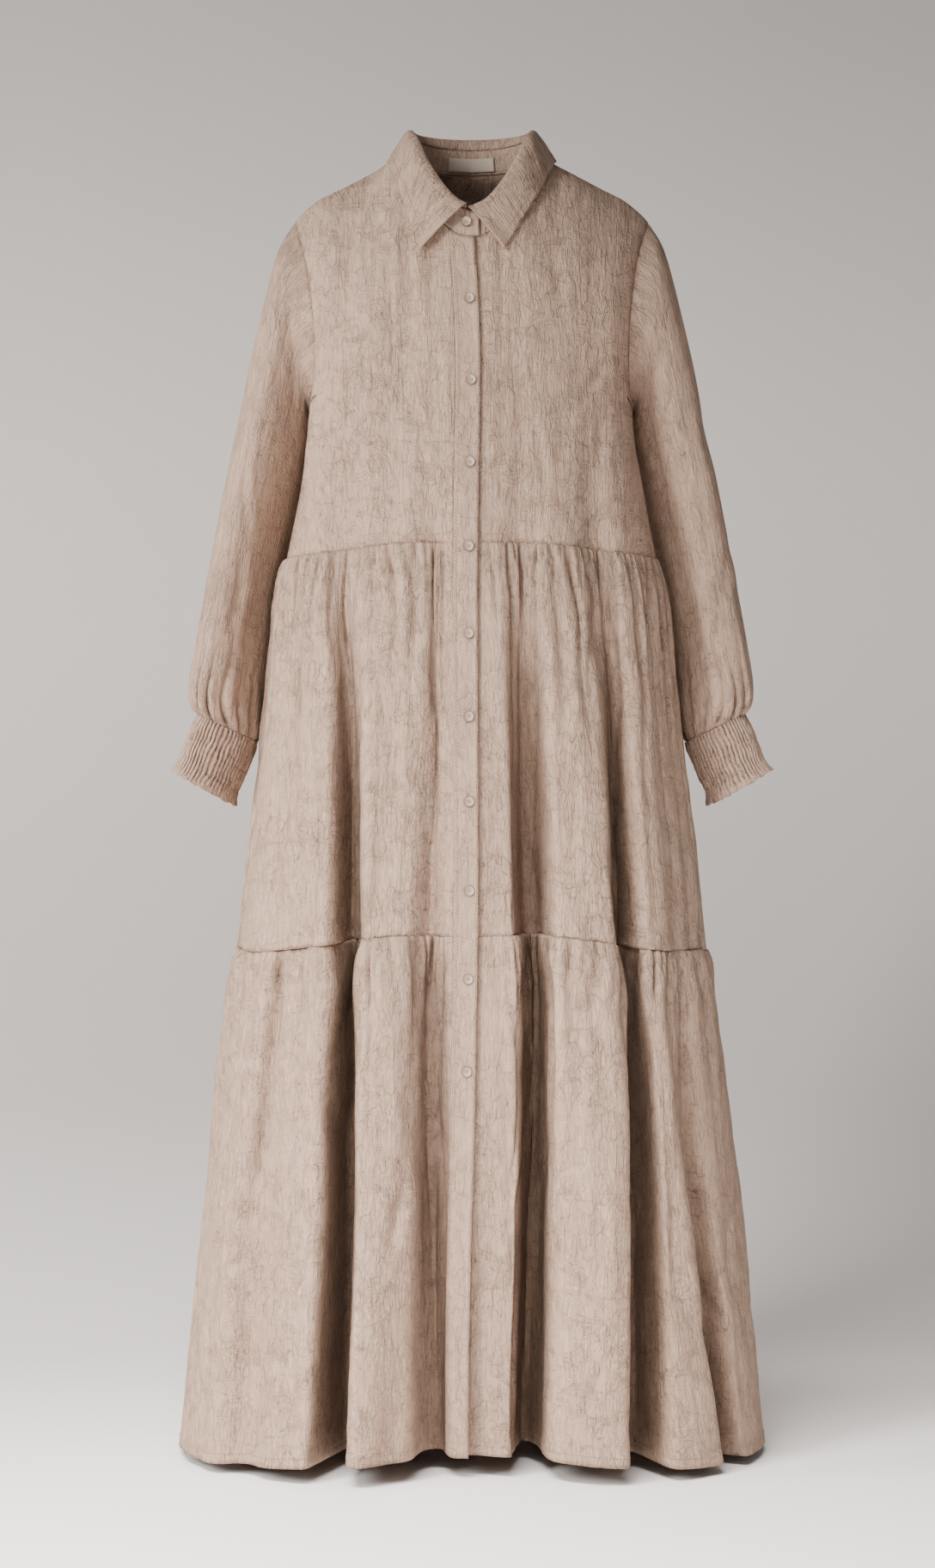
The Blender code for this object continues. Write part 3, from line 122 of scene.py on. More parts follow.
# The long folds that run down the body. across is x on the front and the back and y on the
# sides, depth is how far in the fold goes and half_width its half width at half depth.
FOLD_COLUMNS = ("z", "across", "depth", "half_width")
FOLDS = (
    ("front", (
        (-0.08, -0.132, 0.002, 0.014), (-0.28, -0.131, 0.005, 0.017), (-0.42, -0.138, 0.010, 0.018),
        (-0.60, -0.134, 0.034, 0.017), (-0.84, -0.134, 0.058, 0.016), (-1.08, -0.140, 0.082, 0.015),
        (-1.40, -0.150, 0.105, 0.017),
    )),
    ("front", (
        (-0.10, -0.044, 0.003, 0.013), (-0.28, -0.043, 0.006, 0.016), (-0.42, -0.042, 0.008, 0.016),
        (-0.60, -0.040, 0.012, 0.014), (-0.84, -0.045, 0.020, 0.014), (-1.08, -0.044, 0.036, 0.015),
        (-1.40, -0.045, 0.050, 0.017),
    )),
    ("front", (
        (-0.10, 0.044, 0.002, 0.013), (-0.28, 0.049, 0.006, 0.016), (-0.42, 0.052, 0.010, 0.016),
        (-0.60, 0.061, 0.036, 0.016), (-0.84, 0.069, 0.058, 0.015), (-1.08, 0.072, 0.076, 0.015),
        (-1.40, 0.068, 0.095, 0.017),
    )),
    ("front", (
        (-0.10, 0.135, 0.002, 0.014), (-0.28, 0.128, 0.005, 0.017), (-0.42, 0.134, 0.012, 0.016),
        (-0.60, 0.155, 0.034, 0.014), (-0.84, 0.171, 0.052, 0.014), (-1.08, 0.183, 0.066, 0.015),
        (-1.40, 0.190, 0.082, 0.018),
    )),
    ("front", (
        (-0.44, -0.186, 0.003, 0.010), (-0.60, -0.190, 0.010, 0.013), (-0.84, -0.205, 0.010, 0.014),
        (-1.08, -0.221, 0.014, 0.018), (-1.40, -0.250, 0.016, 0.022),
    )),
    ("front", (
        (-0.42, 0.176, 0.000, 0.012), (-0.60, 0.195, 0.002, 0.012), (-0.84, 0.222, 0.006, 0.012),
        (-1.08, 0.240, 0.022, 0.013), (-1.40, 0.285, 0.048, 0.015),
    )),
    ("front", (
        (-0.42, 0.000, 0.000, 0.075), (-0.84, 0.008, 0.020, 0.080), (-1.08, 0.012, 0.038, 0.085),
        (-1.40, 0.012, 0.062, 0.090),
    )),
    ("right", (
        (-0.42, 0.050, 0.002, 0.016), (-0.60, 0.056, 0.018, 0.016), (-0.84, 0.066, 0.036, 0.016),
        (-1.08, 0.074, 0.054, 0.017), (-1.40, 0.084, 0.072, 0.019),
    )),
    ("left", (
        (-0.42, 0.052, 0.002, 0.016), (-0.60, 0.058, 0.020, 0.016), (-0.84, 0.064, 0.040, 0.016),
        (-1.08, 0.070, 0.058, 0.017), (-1.40, 0.078, 0.076, 0.019),
    )),
    ("back", (
        (-0.15, 0.125, 0.002, 0.018), (-0.42, 0.128, 0.010, 0.018), (-0.60, 0.140, 0.030, 0.016),
        (-0.84, 0.152, 0.050, 0.016), (-1.08, 0.166, 0.070, 0.016), (-1.40, 0.180, 0.090, 0.018),
    )),
    ("back", (
        (-0.15, 0.040, 0.003, 0.018), (-0.42, 0.044, 0.012, 0.018), (-0.60, 0.050, 0.038, 0.016),
        (-0.84, 0.056, 0.060, 0.016), (-1.08, 0.060, 0.080, 0.016), (-1.40, 0.064, 0.100, 0.018),
    )),
    ("back", (
        (-0.15, -0.046, 0.003, 0.018), (-0.42, -0.048, 0.010, 0.018), (-0.60, -0.052, 0.032, 0.016),
        (-0.84, -0.058, 0.054, 0.016), (-1.08, -0.066, 0.076, 0.016), (-1.40, -0.072, 0.098, 0.018),
    )),
    ("back", (
        (-0.15, -0.122, 0.002, 0.018), (-0.42, -0.130, 0.012, 0.018), (-0.60, -0.142, 0.034, 0.016),
        (-0.84, -0.158, 0.052, 0.016), (-1.08, -0.172, 0.070, 0.016), (-1.40, -0.188, 0.086, 0.018),
    )),
    ("front", (
        (-0.05, -0.104, 0.004, 0.009), (-0.14, -0.106, 0.003, 0.010), (-0.20, -0.106, 0.000, 0.010),
    )),
    ("front", (
        (-0.04, -0.074, 0.002, 0.010), (-0.14, -0.073, 0.004, 0.011), (-0.28, -0.070, 0.003, 0.012),
        (-0.36, -0.068, 0.000, 0.012),
    )),
    ("front", (
        (-0.05, 0.096, 0.003, 0.010), (-0.18, 0.106, 0.003, 0.012), (-0.26, 0.112, 0.000, 0.012),
    )),
)

# The placket's free edge down the front.
PLACKET_EDGE = {
    "columns": ("z", "x"),
    "rows": (
        (-0.085, 0.0020), (-0.145, 0.0066), (-0.210, 0.0090), (-0.300, 0.0085), (-0.400, 0.0070),
        (-0.620, 0.0068), (-0.800, 0.0072), (-0.930, 0.0052), (-1.060, 0.0027), (-1.160, -0.0004),
        (-1.260, -0.0026), (-1.400, -0.0036),
    ),
}
BUTTON_HEIGHTS = (-0.158, -0.246, -0.334, -0.424, -0.517, -0.605, -0.695, -0.789, -0.882, -0.979)
STAND_BUTTON_X = -0.0053
LAST_BUTTON = BUTTON_HEIGHTS[-1]
HEM_LAYER_DEPTH = 0.013  # how deep the under layer lies beneath the placket at the hem

# How far the gathered cloth stands in and out, below its seam.
GATHERS = {
    "columns": ("below", "height", "puff"),
    "rows": (
        (0.000, 0.0012, 0.0000), (0.012, 0.0030, 0.0018), (0.045, 0.0026, 0.0040),
        (0.100, 0.0012, 0.0045), (0.200, 0.0002, 0.0030), (0.320, 0.0000, 0.0010),
    ),
}
MIDDLE_LENGTH = 0.418
LOWER_LENGTH = 0.550

# Columns of the solid's cloth between the folds, in order from the placket round by the wearer's left, the
# back and the wearer's right. Every number is even, because two columns make one gather.
MIDDLE_COLUMNS = (6, 10, 6, 10, 6, 12, 10, 10, 10, 12, 6, 16, 10, 4)
LOWER_COLUMNS = (8, 14, 8, 6, 6, 14, 12, 12, 12, 14, 6, 14, 10, 4)
SIDE_MARKS = (4, 11)  # how many of these spans end at each side seam

# The sleeve's sections below the armhole, for one arm. The outer line follows the outside of the
# arm, and the inner line lies against the body, inner_clear from its side.
SLEEVE = {
    "columns": ("outer_x", "outer_z", "outer_y", "inner_z", "inner_y", "inner_clear", "half_depth"),
    "rows": (
        (0.2140, -0.094, 0.000, -0.2670, 0.020, 0.0030, 0.058),
        (0.2385, -0.190, 0.001, -0.2900, 0.046, 0.0000, 0.066),
        (0.2515, -0.250, 0.003, -0.3160, 0.052, 0.0010, 0.067),
        (0.2690, -0.334, 0.006, -0.3720, 0.064, 0.0010, 0.067),
        (0.2850, -0.418, 0.005, -0.4460, 0.070, 0.0020, 0.067),
        (0.2940, -0.470, 0.001, -0.4940, 0.070, 0.0030, 0.066),
        (0.3020, -0.520, -0.005, -0.5400, 0.068, 0.0030, 0.063),
        (0.3075, -0.563, -0.012, -0.5820, 0.060, 0.0040, 0.058),
        (0.3065, -0.586, -0.015, -0.6120, 0.046, 0.0060, 0.049),
        (0.3000, -0.5985, -0.014, -0.6290, 0.028, 0.0090, 0.034),
    ),
}
SLEEVE_GATHERS = {
    "columns": ("below", "height"),
    "rows": ((0.000, 0.0012), (0.014, 0.0034), (0.045, 0.0040), (0.100, 0.0024), (0.190, 0.0)),
}

# The cuff's sections: how far along it they lie, and how its pleats and ruffled end spread.
CUFF = {
    "columns": ("along", "grow", "pleat"),
    "rows": (
        (0.000, 1.00, 0.0012), (0.012, 1.03, 0.0014), (0.036, 1.04, 0.0015), (0.062, 1.03, 0.0014),
        (0.074, 1.14, 0.0032),
    ),
}
CUFF_END_SHIFT = (0.0265, -0.010, -0.0665)  # from the cuff's seam to its end, outwards, across, up
CUFF_END_TILT = 0.04  # by this part of its length the cuff is shorter outside and longer inside
SLEEVE_SQUARENESS = 2.25
ARMHOLE_EASE = 0.0008  # the sleeve's extra distance from the armhole, where it turns over it

# The sleeve's long folds. at and half_width are in degrees round it, from its outer side by the
# front, and top and bottom are the heights of its outer line between which the fold runs.
SLEEVE_FOLD_END = 0.08
FOLD_SHARE = 0.4  # of the solid's depth, because the fine cloth's folds are softer
SLEEVE_FOLD_COLUMNS = ("at", "top", "bottom", "depth", "half_width")
SLEEVE_FOLDS = {
    "right": (
        (52, -0.10, -0.56, 0.007, 15), (112, -0.08, -0.60, 0.011, 16), (250, -0.10, -0.58, 0.009, 17),
    ),
    "left": (
        (58, -0.14, -0.60, 0.008, 15), (118, -0.08, -0.58, 0.012, 16), (245, -0.10, -0.58, 0.009, 17),
    ),
}

# The collar, by the angle from the centre front: the neck seam, the top of the stand and the roll.
COLLAR = {
    "columns": ("angle", "seam_z", "top_z", "roll_z"),
    "rows": (
        (0, -0.0905, -0.0615, -0.0562), (15, -0.0850, -0.0530, -0.0462), (30, -0.0690, -0.0350, -0.0260),
        (45, -0.0450, -0.0130, -0.0010), (60, -0.0200, 0.0120, 0.0260), (75, 0.0030, 0.0280, 0.0390),
        (90, 0.0185, 0.0370, 0.0450), (120, 0.0110, 0.0370, 0.0465), (150, 0.0070, 0.0360, 0.0475),
        (180, 0.0060, 0.0355, 0.0480),
    ),
}
NECK_RING_WIDTH = 0.0635  # half width of the stand at its top
NECK_RING_FRONT = -0.0960  # y of the stand at the centre front
NECK_RING_BACK = 0.0620
NECK_MIDDLE_Y = -0.017
STAND_OVERLAP = 7.0  # degrees by which the stand's ends pass the centre front
NECK_STEP = 0.002  # for measuring the shoulder's slope at the neck
LEAF_START = {"right": 4.5, "left": -3.0}  # degrees from the centre front to the leaf's fronts
ROLL_WIDTH = 0.0034  # how far out of the stand the leaf rolls over
ROLL_RISE = 0.0006

# The leaf's outer edge, by the same angle, on each side. It lies lift outside the body.
LEAF_EDGE = {
    "columns": ("angle", "right_x", "left_x", "z", "lift"),
    "rows": (
        (0, 0.0555, 0.0360, -0.1050, 0.0045), (20, 0.0625, 0.0480, -0.0830, 0.0050),
        (40, 0.0715, 0.0640, -0.0540, 0.0055), (60, 0.0820, 0.0790, -0.0245, 0.0055),
        (90, 0.0945, 0.0945, 0.0052, 0.0055), (120, 0.0820, 0.0820, 0.0010, 0.0070),
        (150, 0.0480, 0.0480, -0.0030, 0.0075), (180, 0.0000, 0.0000, -0.0050, 0.0075),
    ),
}

LEAF_TILT = 0.25  # how far the lift turns upwards at the front and the back
LEAF_TOP = (60.0, 90.0, 125.0)  # table angles between which the leaf lifts straight up, on top
ROLL_PULL = 0.22  # how far the leaf runs outwards from its roll, as a share of its width
EDGE_PULL = 0.35  # and how far back from its edge, and off the cloth, it starts to lie down
EDGE_LIFT = 0.10
LABEL_WIDTH = 0.049
LABEL_HEIGHT = 0.016
LABEL_RISE = 0.003  # from the stand's seam to the label's lower edge
LABEL_CLEAR = 0.0024  # from the middle of the stand's wall to the label's

# ---------------------------------------------------------------- reading the tables


def read(table, column, at):
    """A column of a table at some values of its first column, on a smooth curve through its rows."""
    rows = np.array(table["rows"], float)
    rows = rows[np.argsort(rows[:, 0])]
    x, y = rows[:, 0], rows[:, table["columns"].index(column)]
    slope = np.gradient(y, x)
    at = np.clip(np.asarray(at, float), x[0], x[-1])
    i = np.clip(np.searchsorted(x, at, side="right") - 1, 0, len(x) - 2)
    step = x[i + 1] - x[i]
    t = (at - x[i]) / step
    return (
        (1 + 2 * t) * (1 - t) ** 2 * y[i]
        + t * (1 - t) ** 2 * step * slope[i]
        + t**2 * (3 - 2 * t) * y[i + 1]
        + t**2 * (t - 1) * step * slope[i + 1]
    )


def ease(low, high, value):
    """0 below low, 1 above high and a smooth step between."""
    t = np.clip((np.asarray(value, float) - low) / (high - low), 0.0, 1.0)
    return t * t * (3.0 - 2.0 * t)


# ---------------------------------------------------------------- the body's surface


def hull(angle, z):
    """x and y of the body without folds, and its outward direction in plan."""
    half, power = read(BODY, "half_width", z), read(BODY, "squareness", z)
    s, c = np.sin(angle), np.cos(angle)
    depth = np.where(c > 0, read(BODY, "front", z), read(BODY, "back", z))
    sx = np.sign(s) * np.abs(s) ** (2 / power)
    cy = np.sign(c) * np.abs(c) ** (2 / power)
    x = half * sx
    rise = np.clip((read(SHOULDER, "height", np.abs(x)) - z) / ARCH_HEIGHT, 0.0, 1.0)
    y = -depth * cy * np.sqrt(1.0 - (1.0 - rise) ** 2)
    out_x = FOLD_TILT * np.sign(s) * np.abs(sx) ** (power - 1) / half
    out_y = -np.sign(c) * np.abs(cy) ** (power - 1) / depth
    size = np.hypot(out_x, out_y)
    return x, y, out_x / size, out_y / size


def angle_at(face, across, z):
    """The angle round the body at which its hull has this x, or this y on a side."""
    power = read(BODY, "squareness", z)
    if face in ("front", "back"):
        share = np.clip(across / read(BODY, "half_width", z), -1, 1)
        angle = np.arcsin(np.sign(share) * np.abs(share) ** (power / 2))
        return angle if face == "front" else math.pi - angle
    share = np.clip(across / read(BODY, "back", z), -1, 1)
    angle = SIDE + np.arcsin(np.sign(share) * np.abs(share) ** (power / 2))
    return angle if face == "left" else 2 * math.pi - angle


def fold_track(rows, column, z):
    return read({"columns": FOLD_COLUMNS, "rows": rows}, column, z)


def fold_fade(rows, z):
    """1 along a fold's own length and 0 past its ends."""
    heights = [row[0] for row in rows]
    top = 1.0 - ease(max(heights), max(heights) + FOLD_END, z)
    return top * ease(min(heights) - FOLD_END, min(heights), z)


def skin(angle, z):
    """Points on the body's surface, folds included, at these angles and nominal heights."""
    angle, z = np.broadcast_arrays(np.asarray(angle, float), np.asarray(z, float))
    x, y, out_x, out_y = hull(angle, z)
    inward = np.zeros_like(x)
    for face, rows in FOLDS:
        at = angle_at(face, fold_track(rows, "across", z), z)
        fold_x, fold_y, _, _ = hull(at, z)
        depth = np.maximum(fold_track(rows, "depth", z), 0.0) * fold_fade(rows, z)
        reach = np.hypot(x - fold_x, y - fold_y) / fold_track(rows, "half_width", z)
        power = FOLD_POWER + FOLD_POWER_GAIN * ease(0.0, DEEP_FOLD, depth)
        inward += depth * np.exp(-math.log(2.0) * reach**power)
    x, y = x - out_x * inward, y - out_y * inward
    share = np.abs(x) / read(BODY, "half_width", z)
    drop = read(BODY, "side_drop", z) * ease(*DROP_SPAN, share)
    return np.stack([x, y, z - drop], axis=-1)


def on_front(x, z):
    return skin(angle_at("front", x, z), z)


def under_layer(points):
    """The front's under layer: it lies beneath the placket and comes level again beside it."""
    z = points[..., 2]
    beside = points[..., 0] - read(PLACKET_EDGE, "x", z)
    opened = 1.0 - ease(HEM, LAST_BUTTON, z)
    depth = UNDER_DEPTH + (HEM_LAYER_DEPTH - UNDER_DEPTH) * opened
    depth = depth * (1.0 - ease(*UNDER_SPAN, beside)) * (points[..., 1] < 0)
    return points + depth[..., None] * np.array([0.0, 1.0, 0.0])


def normals_of(points, outward=1.0, closed=False):
    """The unit normals of a grid of points, rows down and columns across."""
    if closed:
        points = np.concatenate([points[:, -1:], points, points[:, :1]], axis=1)
    normal = outward * np.cross(np.gradient(points, axis=0), np.gradient(points, axis=1))
    normal /= np.linalg.norm(normal, axis=-1, keepdims=True)
    return normal[:, 1:-1] if closed else normal


def unit(vectors):
    return vectors / np.linalg.norm(vectors, axis=-1, keepdims=True)


def across_seam(normals, axis):
    """Normals turned square to a seam's axis, so that two walls meet there end to end."""
    axis = unit(np.array(axis, float))
    return unit(normals - (normals @ axis)[..., None] * axis)


def seam_offset(edge, way):
    """How far past an edge the next piece starts, where it bends from edge to way."""
    cosine = np.sum(edge * way, axis=-1)
    sine = np.sqrt(np.maximum(1.0 - cosine**2, LEAST_SINE_SQUARE))
    half = CLOTH / 2
    past = np.maximum(-cosine, 0.0) * (half + SEAM_GAP + half * np.abs(cosine)) / sine
    return (SEAM_GAP + half * sine + past)[..., None]


# ---------------------------------------------------------------- the tiers


def fold_angle(number, z):
    face, rows = FOLDS[number]
    return angle_at(face, fold_track(rows, "across", z), z)


def anchors(z):
    """Angles round the body that the cloth's columns keep to: edges, folds and side seams."""
    edge = read(PLACKET_EDGE, "x", z)
    round_again = 2 * math.pi
    return (
        angle_at("front", edge - UNDER_LAP, z),
        *(fold_angle(number, z) for number in (2, 3, 5)),
        SIDE,
        *(fold_angle(number, z) for number in (8, 9, 10, 11, 12, 7)),
        3 * SIDE,
        *(round_again + fold_angle(number, z) for number in (0, 1)),
        round_again + angle_at("front", edge - PLACKET_WIDTH, z),
    )


def spread_angles(marks, counts, z, samples=48):
    """Angles that share the cloth's length out evenly between each two marks."""
    found = [float(marks[0])]
    for start, end, count in zip(marks[:-1], marks[1:], counts):
        fine = np.linspace(start, end, samples)
        steps = np.linalg.norm(np.diff(skin(fine, z), axis=0), axis=1)
        length = np.concatenate([[0.0], np.cumsum(steps)])
        shares = np.linspace(0.0, length[-1], count + 1)[1:]
        found += list(np.interp(shares, length, fine))
    return np.array(found)


def middle(part, z):
    """How far from the centre a bodice piece starts, on its own side."""
    if part == "front_left":
        return read(PLACKET_EDGE, "x", z) - UNDER_LAP
    if part == "front_right":
        return PLACKET_WIDTH - read(PLACKET_EDGE, "x", z)
    return np.zeros_like(np.asarray(z, float))


def body_angle(part, share_angle):
    """The angle round the body for an angle counted from the centre front or back."""
    turned = {
        "front_left": share_angle,
        "front_right": 2 * math.pi - share_angle,
        "back_left": math.pi - share_angle,
        "back_right": math.pi + share_angle,
    }
    return turned[part]


def bodice_grid(part):
    """A bodice piece's points, from the neck and shoulder down and from the middle out."""
    front = part.startswith("front")
    top_z = float(read(COLLAR, "seam_z", 10 if front else 180))
    begin = math.asin(float(middle(part, top_z)) / NECK_HALF_WIDTH)
    theta = np.linspace(begin, math.pi / 2, NECK_COLUMNS + 1)
    around = np.degrees(np.abs(theta))
    neck_z = read(COLLAR, "seam_z", around if front else 180.0 - around)
    shoulder_x = np.linspace(NECK_HALF_WIDTH, SHOULDER_TIP_X, SHOULDER_COLUMNS + 1)[1:]
    top_x = np.concatenate([NECK_HALF_WIDTH * np.sin(theta), shoulder_x])
    top_z = np.concatenate([neck_z, read(SHOULDER, "height", shoulder_x)])
    top_angle = angle_at("front", top_x, top_z)

    turn = (1.0 - np.cos(np.linspace(0.0, math.pi, ARMHOLE_ROWS + 1))) / 2
    arm_z = SHOULDER_TIP + (UNDERARM - SHOULDER_TIP) * turn
    side_z = np.linspace(UNDERARM, WAIST_SEAM, SIDE_ROWS + 1)[1:]
    outer_z = np.concatenate([arm_z, side_z])
    outer_angle = np.full(outer_z.shape, SIDE)
    outer_angle[: ARMHOLE_ROWS] = angle_at("front", read(ARMHOLE, "x", arm_z[:-1]), arm_z[:-1])
    top_angle[-1] = outer_angle[0]

    down = ((outer_z - outer_z[0]) / (outer_z[-1] - outer_z[0]))[:, None]
    out = np.linspace(0.0, 1.0, len(top_x))[None, :]
    z = (1.0 - down) * top_z + down * WAIST_SEAM
    inner_angle = angle_at("front", middle(part, z[:, 0]), z[:, 0])
    fine = np.linspace(inner_angle[-1], SIDE, 64)
    ring = skin(body_angle(part, fine), WAIST_SEAM)
    length = np.concatenate([[0.0], np.cumsum(np.linalg.norm(np.diff(ring, axis=0), axis=1))])
    low_angle = np.interp(out[0] * length[-1], length, fine)

    angle = (1.0 - down) * top_angle + down * low_angle
    angle = angle + (1.0 - out) ** 3 * (inner_angle[:, None] - angle[:, :1])
    angle = angle + out**3 * (outer_angle[:, None] - angle[:, -1:])
    angle[:, -1] = outer_angle
    return skin(body_angle(part, angle), z)


def oval(outer, inner, half_depth, turn):
    """A closed section through an outer and an inner point, as deep as half_depth each way."""
    reach = (outer - inner) / 2
    front = np.array([0.0, -half_depth, 0.0])
    c, s = np.cos(turn)[:, None], np.sin(turn)[:, None]
    power = 2 / SLEEVE_SQUARENESS
    reach = reach * np.sign(c) * np.abs(c) ** power
    return (outer + inner) / 2 + reach + front * np.sign(s) * np.abs(s) ** power


def sleeve_rings(side, turn):
    """The sleeve's sections below the armhole, folds included."""
    sign = 1.0 if side == "left" else -1.0
    rings = []
    for row in SLEEVE["rows"]:
        value = dict(zip(SLEEVE["columns"], row))
        inner_x = float(read(BODY, "half_width", value["inner_z"])) + value["inner_clear"]
        outer = np.array([sign * value["outer_x"], value["outer_y"], value["outer_z"]])
        inner = np.array([sign * inner_x, value["inner_y"], value["inner_z"]])
        ring = oval(outer, inner, value["half_depth"], turn)
        centre = ring.mean(axis=0)
        inward = np.zeros(len(turn))
        fall = -value["outer_z"]
        for row in SLEEVE_FOLDS[side]:
            fold = dict(zip(SLEEVE_FOLD_COLUMNS, row))
            away = (turn - math.radians(fold["at"]) + math.pi) % (2 * math.pi) - math.pi
            reach = np.degrees(np.abs(away)) / fold["half_width"]
            fade = ease(-fold["top"], -fold["top"] + SLEEVE_FOLD_END, fall)
            fade = fade * (1.0 - ease(-fold["bottom"] - SLEEVE_FOLD_END, -fold["bottom"], fall))
            inward += fold["depth"] * FOLD_SHARE * fade * np.exp(-math.log(2.0) * reach**2)
        rings.append(ring + unit(centre - ring) * inward[:, None])
    return np.array(rings)


def neck_ring(phi):
    """Points on the neck seam and the way past its edge, by the angle in degrees.

    The angle starts at the centre front and goes round by the wearer's left.
    """
    phi = np.asarray(phi, float)
    wrapped = np.minimum(np.abs(phi), np.abs(360.0 - phi))
    x = NECK_HALF_WIDTH * np.sin(np.radians(phi))
    z = read(COLLAR, "seam_z", wrapped)
    front = skin(angle_at("front", x, z), z)
    behind = skin(angle_at("back", x, z), z)
    points = np.where((wrapped <= 90.0)[:, None], front, behind)
    points = np.where((phi < 90.0)[:, None], under_layer(points), points)
    rise = np.clip((read(SHOULDER, "height", np.abs(x)) - z) / ARCH_HEIGHT, 0.0, 1.0)
    ends = (read(SHOULDER, "height", np.abs(x) + way * NECK_STEP) for way in (1, -1))
    slope = np.sign(x) * np.subtract(*ends) / (2 * NECK_STEP)
    depth = np.where(wrapped <= 90.0, read(BODY, "front", z), read(BODY, "back", z))
    fall = 2 * (1.0 - rise) / ARCH_HEIGHT
    normal = unit(np.stack([-slope * fall, 2 * points[:, 1] / depth**2, fall], axis=-1))
    edge = unit(np.cross(normal, unit(np.gradient(points, axis=0))))
    return points, edge


def stand_top(phi):
    """The stand's upper edge, by the same angle."""
    phi = np.asarray(phi, float)
    wrapped = np.minimum(np.abs(phi), np.abs(360.0 - phi))
    turn = np.radians(phi)
    depth = np.where(wrapped <= 90.0, -NECK_RING_FRONT, NECK_RING_BACK)
    x, y = NECK_RING_WIDTH * np.sin(turn), -depth * np.cos(turn)
    points = np.stack([x, y, read(COLLAR, "top_z", wrapped)], axis=-1)
    return np.where((phi < 90.0)[:, None], under_layer(points), points)


# ---------------------------------------------------------------- the scene's own dimensions

FINE = 4  # fine columns of cloth for one of the solid's columns
ROW_STEP = 0.0052
ANGLE_LEVELS = 14  # heights at which the columns' angles are worked out
ANGLE_SAMPLES = 6
SEAM_ROWS = (0.0, 0.0009, 0.0026)  # the first rows below a seam, where the gathers begin
SHELL = 0.0012  # thickness of the shown cloth
BAND_SHELL = 0.0017
CUFF_SHELL = 0.0009
TAPE_SHELL = 0.0007
UNDERLAP = 0.0016  # how far a piece runs in behind its neighbour at a seam
STITCH_LENGTH = 0.0030
FINE_STITCH = 0.0025
HEM_STITCH = 0.0026
STITCH_GAP = 0.0012
STITCH_WIDTH = 0.00045
STITCH_LIFT = 0.0004
FLOOR = -1.411
CAMERA_PLACE = (-0.0043, -3.4, -0.6764)
CAMERA_LENS = 70.64


def noise(u, v, size_u, size_v, seed):
    """Smooth random heights from -1 to 1 over a sheet, with bumps of about these sizes."""
    rng = np.random.default_rng(seed)
    u, v = np.broadcast_arrays(np.asarray(u, float), np.asarray(v, float))
    a, b = (u - u.min()) / size_u, (v - v.min()) / size_v
    i, j = np.floor(a).astype(int), np.floor(b).astype(int)
    knots = rng.uniform(-1.0, 1.0, (i.max() + 3, j.max() + 3))
    s, t = a - i, b - j
    s, t = s * s * (3 - 2 * s), t * t * (3 - 2 * t)
    low = knots[i, j] * (1 - s) + knots[i + 1, j] * s
    high = knots[i, j + 1] * (1 - s) + knots[i + 1, j + 1] * s
    return low * (1 - t) + high * t


# The linen's long vertical crinkle: the bumps' width, length and height. Ridged ones have sharp
# valleys.
CRINKLE = (
    (0.040, 0.34, 0.0046, False),
    (0.021, 0.16, 0.0013, True),
    (0.0095, 0.060, 0.0005, True),
    (0.024, 0.015, 0.0004, False),
)


def crinkle(u, v, seed, amount=1.0):
    """The crinkle's height, in metres out of the cloth."""
    total = 0.0
    for number, (wide, tall, height, ridged) in enumerate(CRINKLE):
        bumps = noise(u, v, wide, tall, seed + number)
        total = total + (np.abs(bumps) * 2.0 - 1.0 if ridged else bumps) * height
    return total * amount


# Creases given here run from one place to another, in x and z.
CREASE_COLUMNS = ("x0", "z0", "x1", "z1", "depth", "width")
CREASE_BEND = 0.004  # how far a crease strays from a straight line
RIDGE_HEIGHT = 0.6  # of the trough's depth, for the ridge beside it
RIDGE_AWAY = 1.8  # widths from the trough to the ridge


def creases(points, table):
    """The height of creases, each a soft trough with a ridge beside it, on each face."""
    x, z = points[..., 0], points[..., 2]
    total = np.zeros(x.shape)
    for face, rows in table.items():
        facing = points[..., 1] < 0.02 if face == "front" else points[..., 1] > 0.0
        for row in rows:
            c = dict(zip(CREASE_COLUMNS, row))
            along = np.array([c["x1"] - c["x0"], c["z1"] - c["z0"]])
            length = np.hypot(*along)
            along = along / length
            share = ((x - c["x0"]) * along[0] + (z - c["z0"]) * along[1]) / length
            off = (z - c["z0"]) * along[0] - (x - c["x0"]) * along[1]
            off = off + CREASE_BEND * np.sin(share * 5.0 + c["depth"] * 4000)
            end = ease(0.0, 0.35, share) * (1.0 - ease(0.65, 1.0, share)) * facing
            trough = np.exp(-((off / c["width"]) ** 2))
            ridge = np.exp(-(((off - RIDGE_AWAY * c["width"]) / c["width"]) ** 2))
            total += c["depth"] * end * (RIDGE_HEIGHT * ridge - trough)
    return total


# ---------------------------------------------------------------- materials


class Value:
    """A number in a node tree, which arithmetic works on."""

    def __init__(self, nodes, socket):
        self.nodes = nodes
        self.socket = socket

    def to(self, operation, other=0.0):
        return self.nodes.math(operation, self, other)


for word, sum_kind in (("add", "ADD"), ("sub", "SUBTRACT"), ("mul", "MULTIPLY"), ("truediv", "DIVIDE")):
    setattr(Value, f"__{word}__", lambda a, b, kind=sum_kind: a.nodes.math(kind, a, b))
    setattr(Value, f"__r{word}__", lambda a, b, kind=sum_kind: a.nodes.math(kind, b, a))


